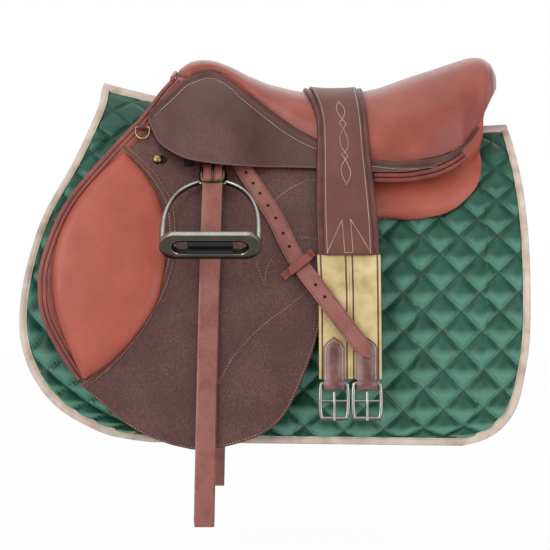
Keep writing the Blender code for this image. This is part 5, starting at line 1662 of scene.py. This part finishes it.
    def dee(self) -> None:
        """Ring in its leather loop, and the round stud in its punched hole, with painted shade beside the
        stud.
        """
        word = self.side.value
        hinge, low = wrap(np.array([(-183.0, -11.0), (-183.0, -31.0)]), STRAP_IN + 3.6, self.side)
        down = unit(low - hinge)
        spots = [(-9.5, 2), (-8.5, 0), (-4, 0), (0, 0), (4, 0), (8.5, 0), (9.5, 2)]
        spots += [(9.5 * math.cos(a), 6 + 12 * math.sin(a)) for a in np.linspace(0.05, math.pi - 0.05, 11)]
        path = np.array([hinge + ALONG * x + down * s for x, s in closed_curve(spots, 3)])
        self.shop.add(f"dee_wire_{word}", rod(path, np.cross(down, ALONG), 2.6, 2.6, closed=True, sides=12),
                      "brass", "brass", f"dee_ring_{word}", body=f"dee_{word}")
        turn = turns(24)
        loop = hinge + np.stack([0 * turn, 2.6 * np.cos(turn), 2.6 * np.sin(turn)], -1)
        self.shop.add(f"dee_tab_{word}", band(loop, loop - hinge, 10, 1.4, closed=True, corner=0.4), "band",
                      "loop_leather", f"dee_loop_{word}")
        centre = wrap(np.array([-161.5, -56.0]), STRAP_IN, self.side)
        out = facing(centre[None], self.side)[0]
        flat = unit(np.cross(out, UPRIGHT))
        turn = turns(32)[:, None]
        circle = flat * np.cos(turn) + np.cross(flat, out) * np.sin(turn)
        rings = [centre + out * h + circle * r for h, r in ((-0.6, 6.2), (0.6, 6.6), (1.6, 6.4), (2.6, 5.5),
                                                            (3.4, 4.1), (3.9, 2.4), (4.1, 0.8))]
        self.shop.add(f"round_stud_{word}", sweep(np.stack(rings)), "stud", "brass", f"flap_stud_{word}",
                      sharp=70)
        # Painted shade: a thin near-black disc set behind the stud shows as a dark crescent beside it.
        hole_shade_disc = centre + ALONG * 7.0 - out * 0.75 + circle * 6.4
        self.shop.add(f"stud_hole_shade_{word}", sweep(np.stack([hole_shade_disc, hole_shade_disc + out * 0.35])), "hole",
                      "flap_leather")

    def build(self) -> None:
        """Makes the side's stirrup and small metal."""
        self.leather()
        self.iron()
        self.tail()
        self.dee()


# Studio


@dataclass
class Studio:
    """Camera, lamps and floor."""

    lens: float = 115.9
    distance: float = 2.6
    height: float = -0.215
    floor: float = -0.60

    def camera(self) -> None:
        """A level camera square to the near side."""
        data = bpy.data.cameras.new("side_view")
        data.lens, data.sensor_width = self.lens, 36.0
        obj = new_object("side_view", data)
        obj.location = (0, -self.distance, self.height)
        obj.rotation_euler = (math.pi / 2, 0, 0)
        bpy.context.scene.camera = obj

    def lamp(self, name: str, place: tuple[float, float, float], power: float, size: float) -> None:
        """A soft square lamp that looks at the saddle."""
        data = bpy.data.lights.new(name, "AREA")
        data.energy, data.size = power, size
        obj = new_object(name, data)
        obj.location = place
        obj.rotation_euler = (Vector((0, 0, -0.15)) - Vector(place)).to_track_quat("-Z", "Y").to_euler()

    def white(self, name: str, share: float) -> bpy.types.Material:
        """White painted board that the camera and reflections see as paper white."""
        material, n, shader = new_material(name)
        n.feed(shader, {"Base Color": linear("#E8E8E8"), "Roughness": 0.9})
        path = n.add("ShaderNodeLightPath").outputs
        seen = n.math("MAXIMUM", path["Is Camera Ray"], n.math("MAXIMUM", path["Is Glossy Ray"],
                                                               path["Is Transmission Ray"]))
        glow = n.add("ShaderNodeEmission", {"Color": (1, 1, 1, 1), "Strength": 1.0})
        mix = n.add("ShaderNodeMixShader", {0: n.math("MULTIPLY", seen, share), 1: shader.outputs[0],
                                            2: glow.outputs[0]})
        n.feed(material.node_tree.nodes["Material Output"], {"Surface": mix.outputs[0]})
        return material

    def build(self) -> None:
        """Sets up the whole studio."""
        self.camera()
        self.lamp("top_softbox", (-0.3, -0.6, 2.4), 24, 3.0)
        self.lamp("front_left_softbox", (-2.0, -2.6, 1.0), 54, 2.6)
        self.lamp("front_right_softbox", (2.3, -2.4, 0.3), 34, 2.6)
        self.lamp("back_softbox", (0.4, 2.6, 1.2), 26, 3.0)
        world = bpy.data.worlds.new("paper white")
        world.use_nodes = True
        bpy.context.scene.world = world
        n = Nodes(world.node_tree)
        path = n.add("ShaderNodeLightPath").outputs
        seen = n.math("MAXIMUM", path["Is Camera Ray"], path["Is Transmission Ray"])
        strength = n.math("ADD", n.math("MULTIPLY", seen, 0.55), 0.45)
        n.feed(world.node_tree.nodes["Background"], {"Color": (1, 1, 1, 1), "Strength": strength})
        mesh = bpy.data.meshes.new("floor")
        r, z = 6.0, self.floor
        mesh.from_pydata([(-r, -r, z), (r, -r, z), (r, r, z), (-r, r, z)], [], [(0, 1, 2, 3)])
        floor = new_object("floor", mesh)
        mesh.materials.append(self.white("white floor board", 0.97))
        bpy.context.scene.view_settings.view_transform = "Standard"


def main() -> None:
    """Builds the scene."""
    logging.basicConfig(level=logging.INFO, format="%(message)s")
    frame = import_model()
    shop = Shop()
    Studio().build()
    QuiltedPad(shop).build()
    form = SeatForm()
    Seat(shop, form).build()
    for side in Side:
        SideLeathers(shop, side).build()
        Stirrup(shop, side).build()
    Girth(shop, GirthForm(form)).build()
    plain = {"stirrup_bar": "black", "bar_catch": "black", "tread_rubber": "rubber", "girth_billets": "strap",
             "tree": "wood", "head_plate": "black"}
    for name, node in frame["nodes"].items():
        for start, finish in plain.items():
            if name.startswith(start):
                node.data.materials.clear()
                node.data.materials.append(shop.finishes[finish])


if __name__ == "__main__":
    main()
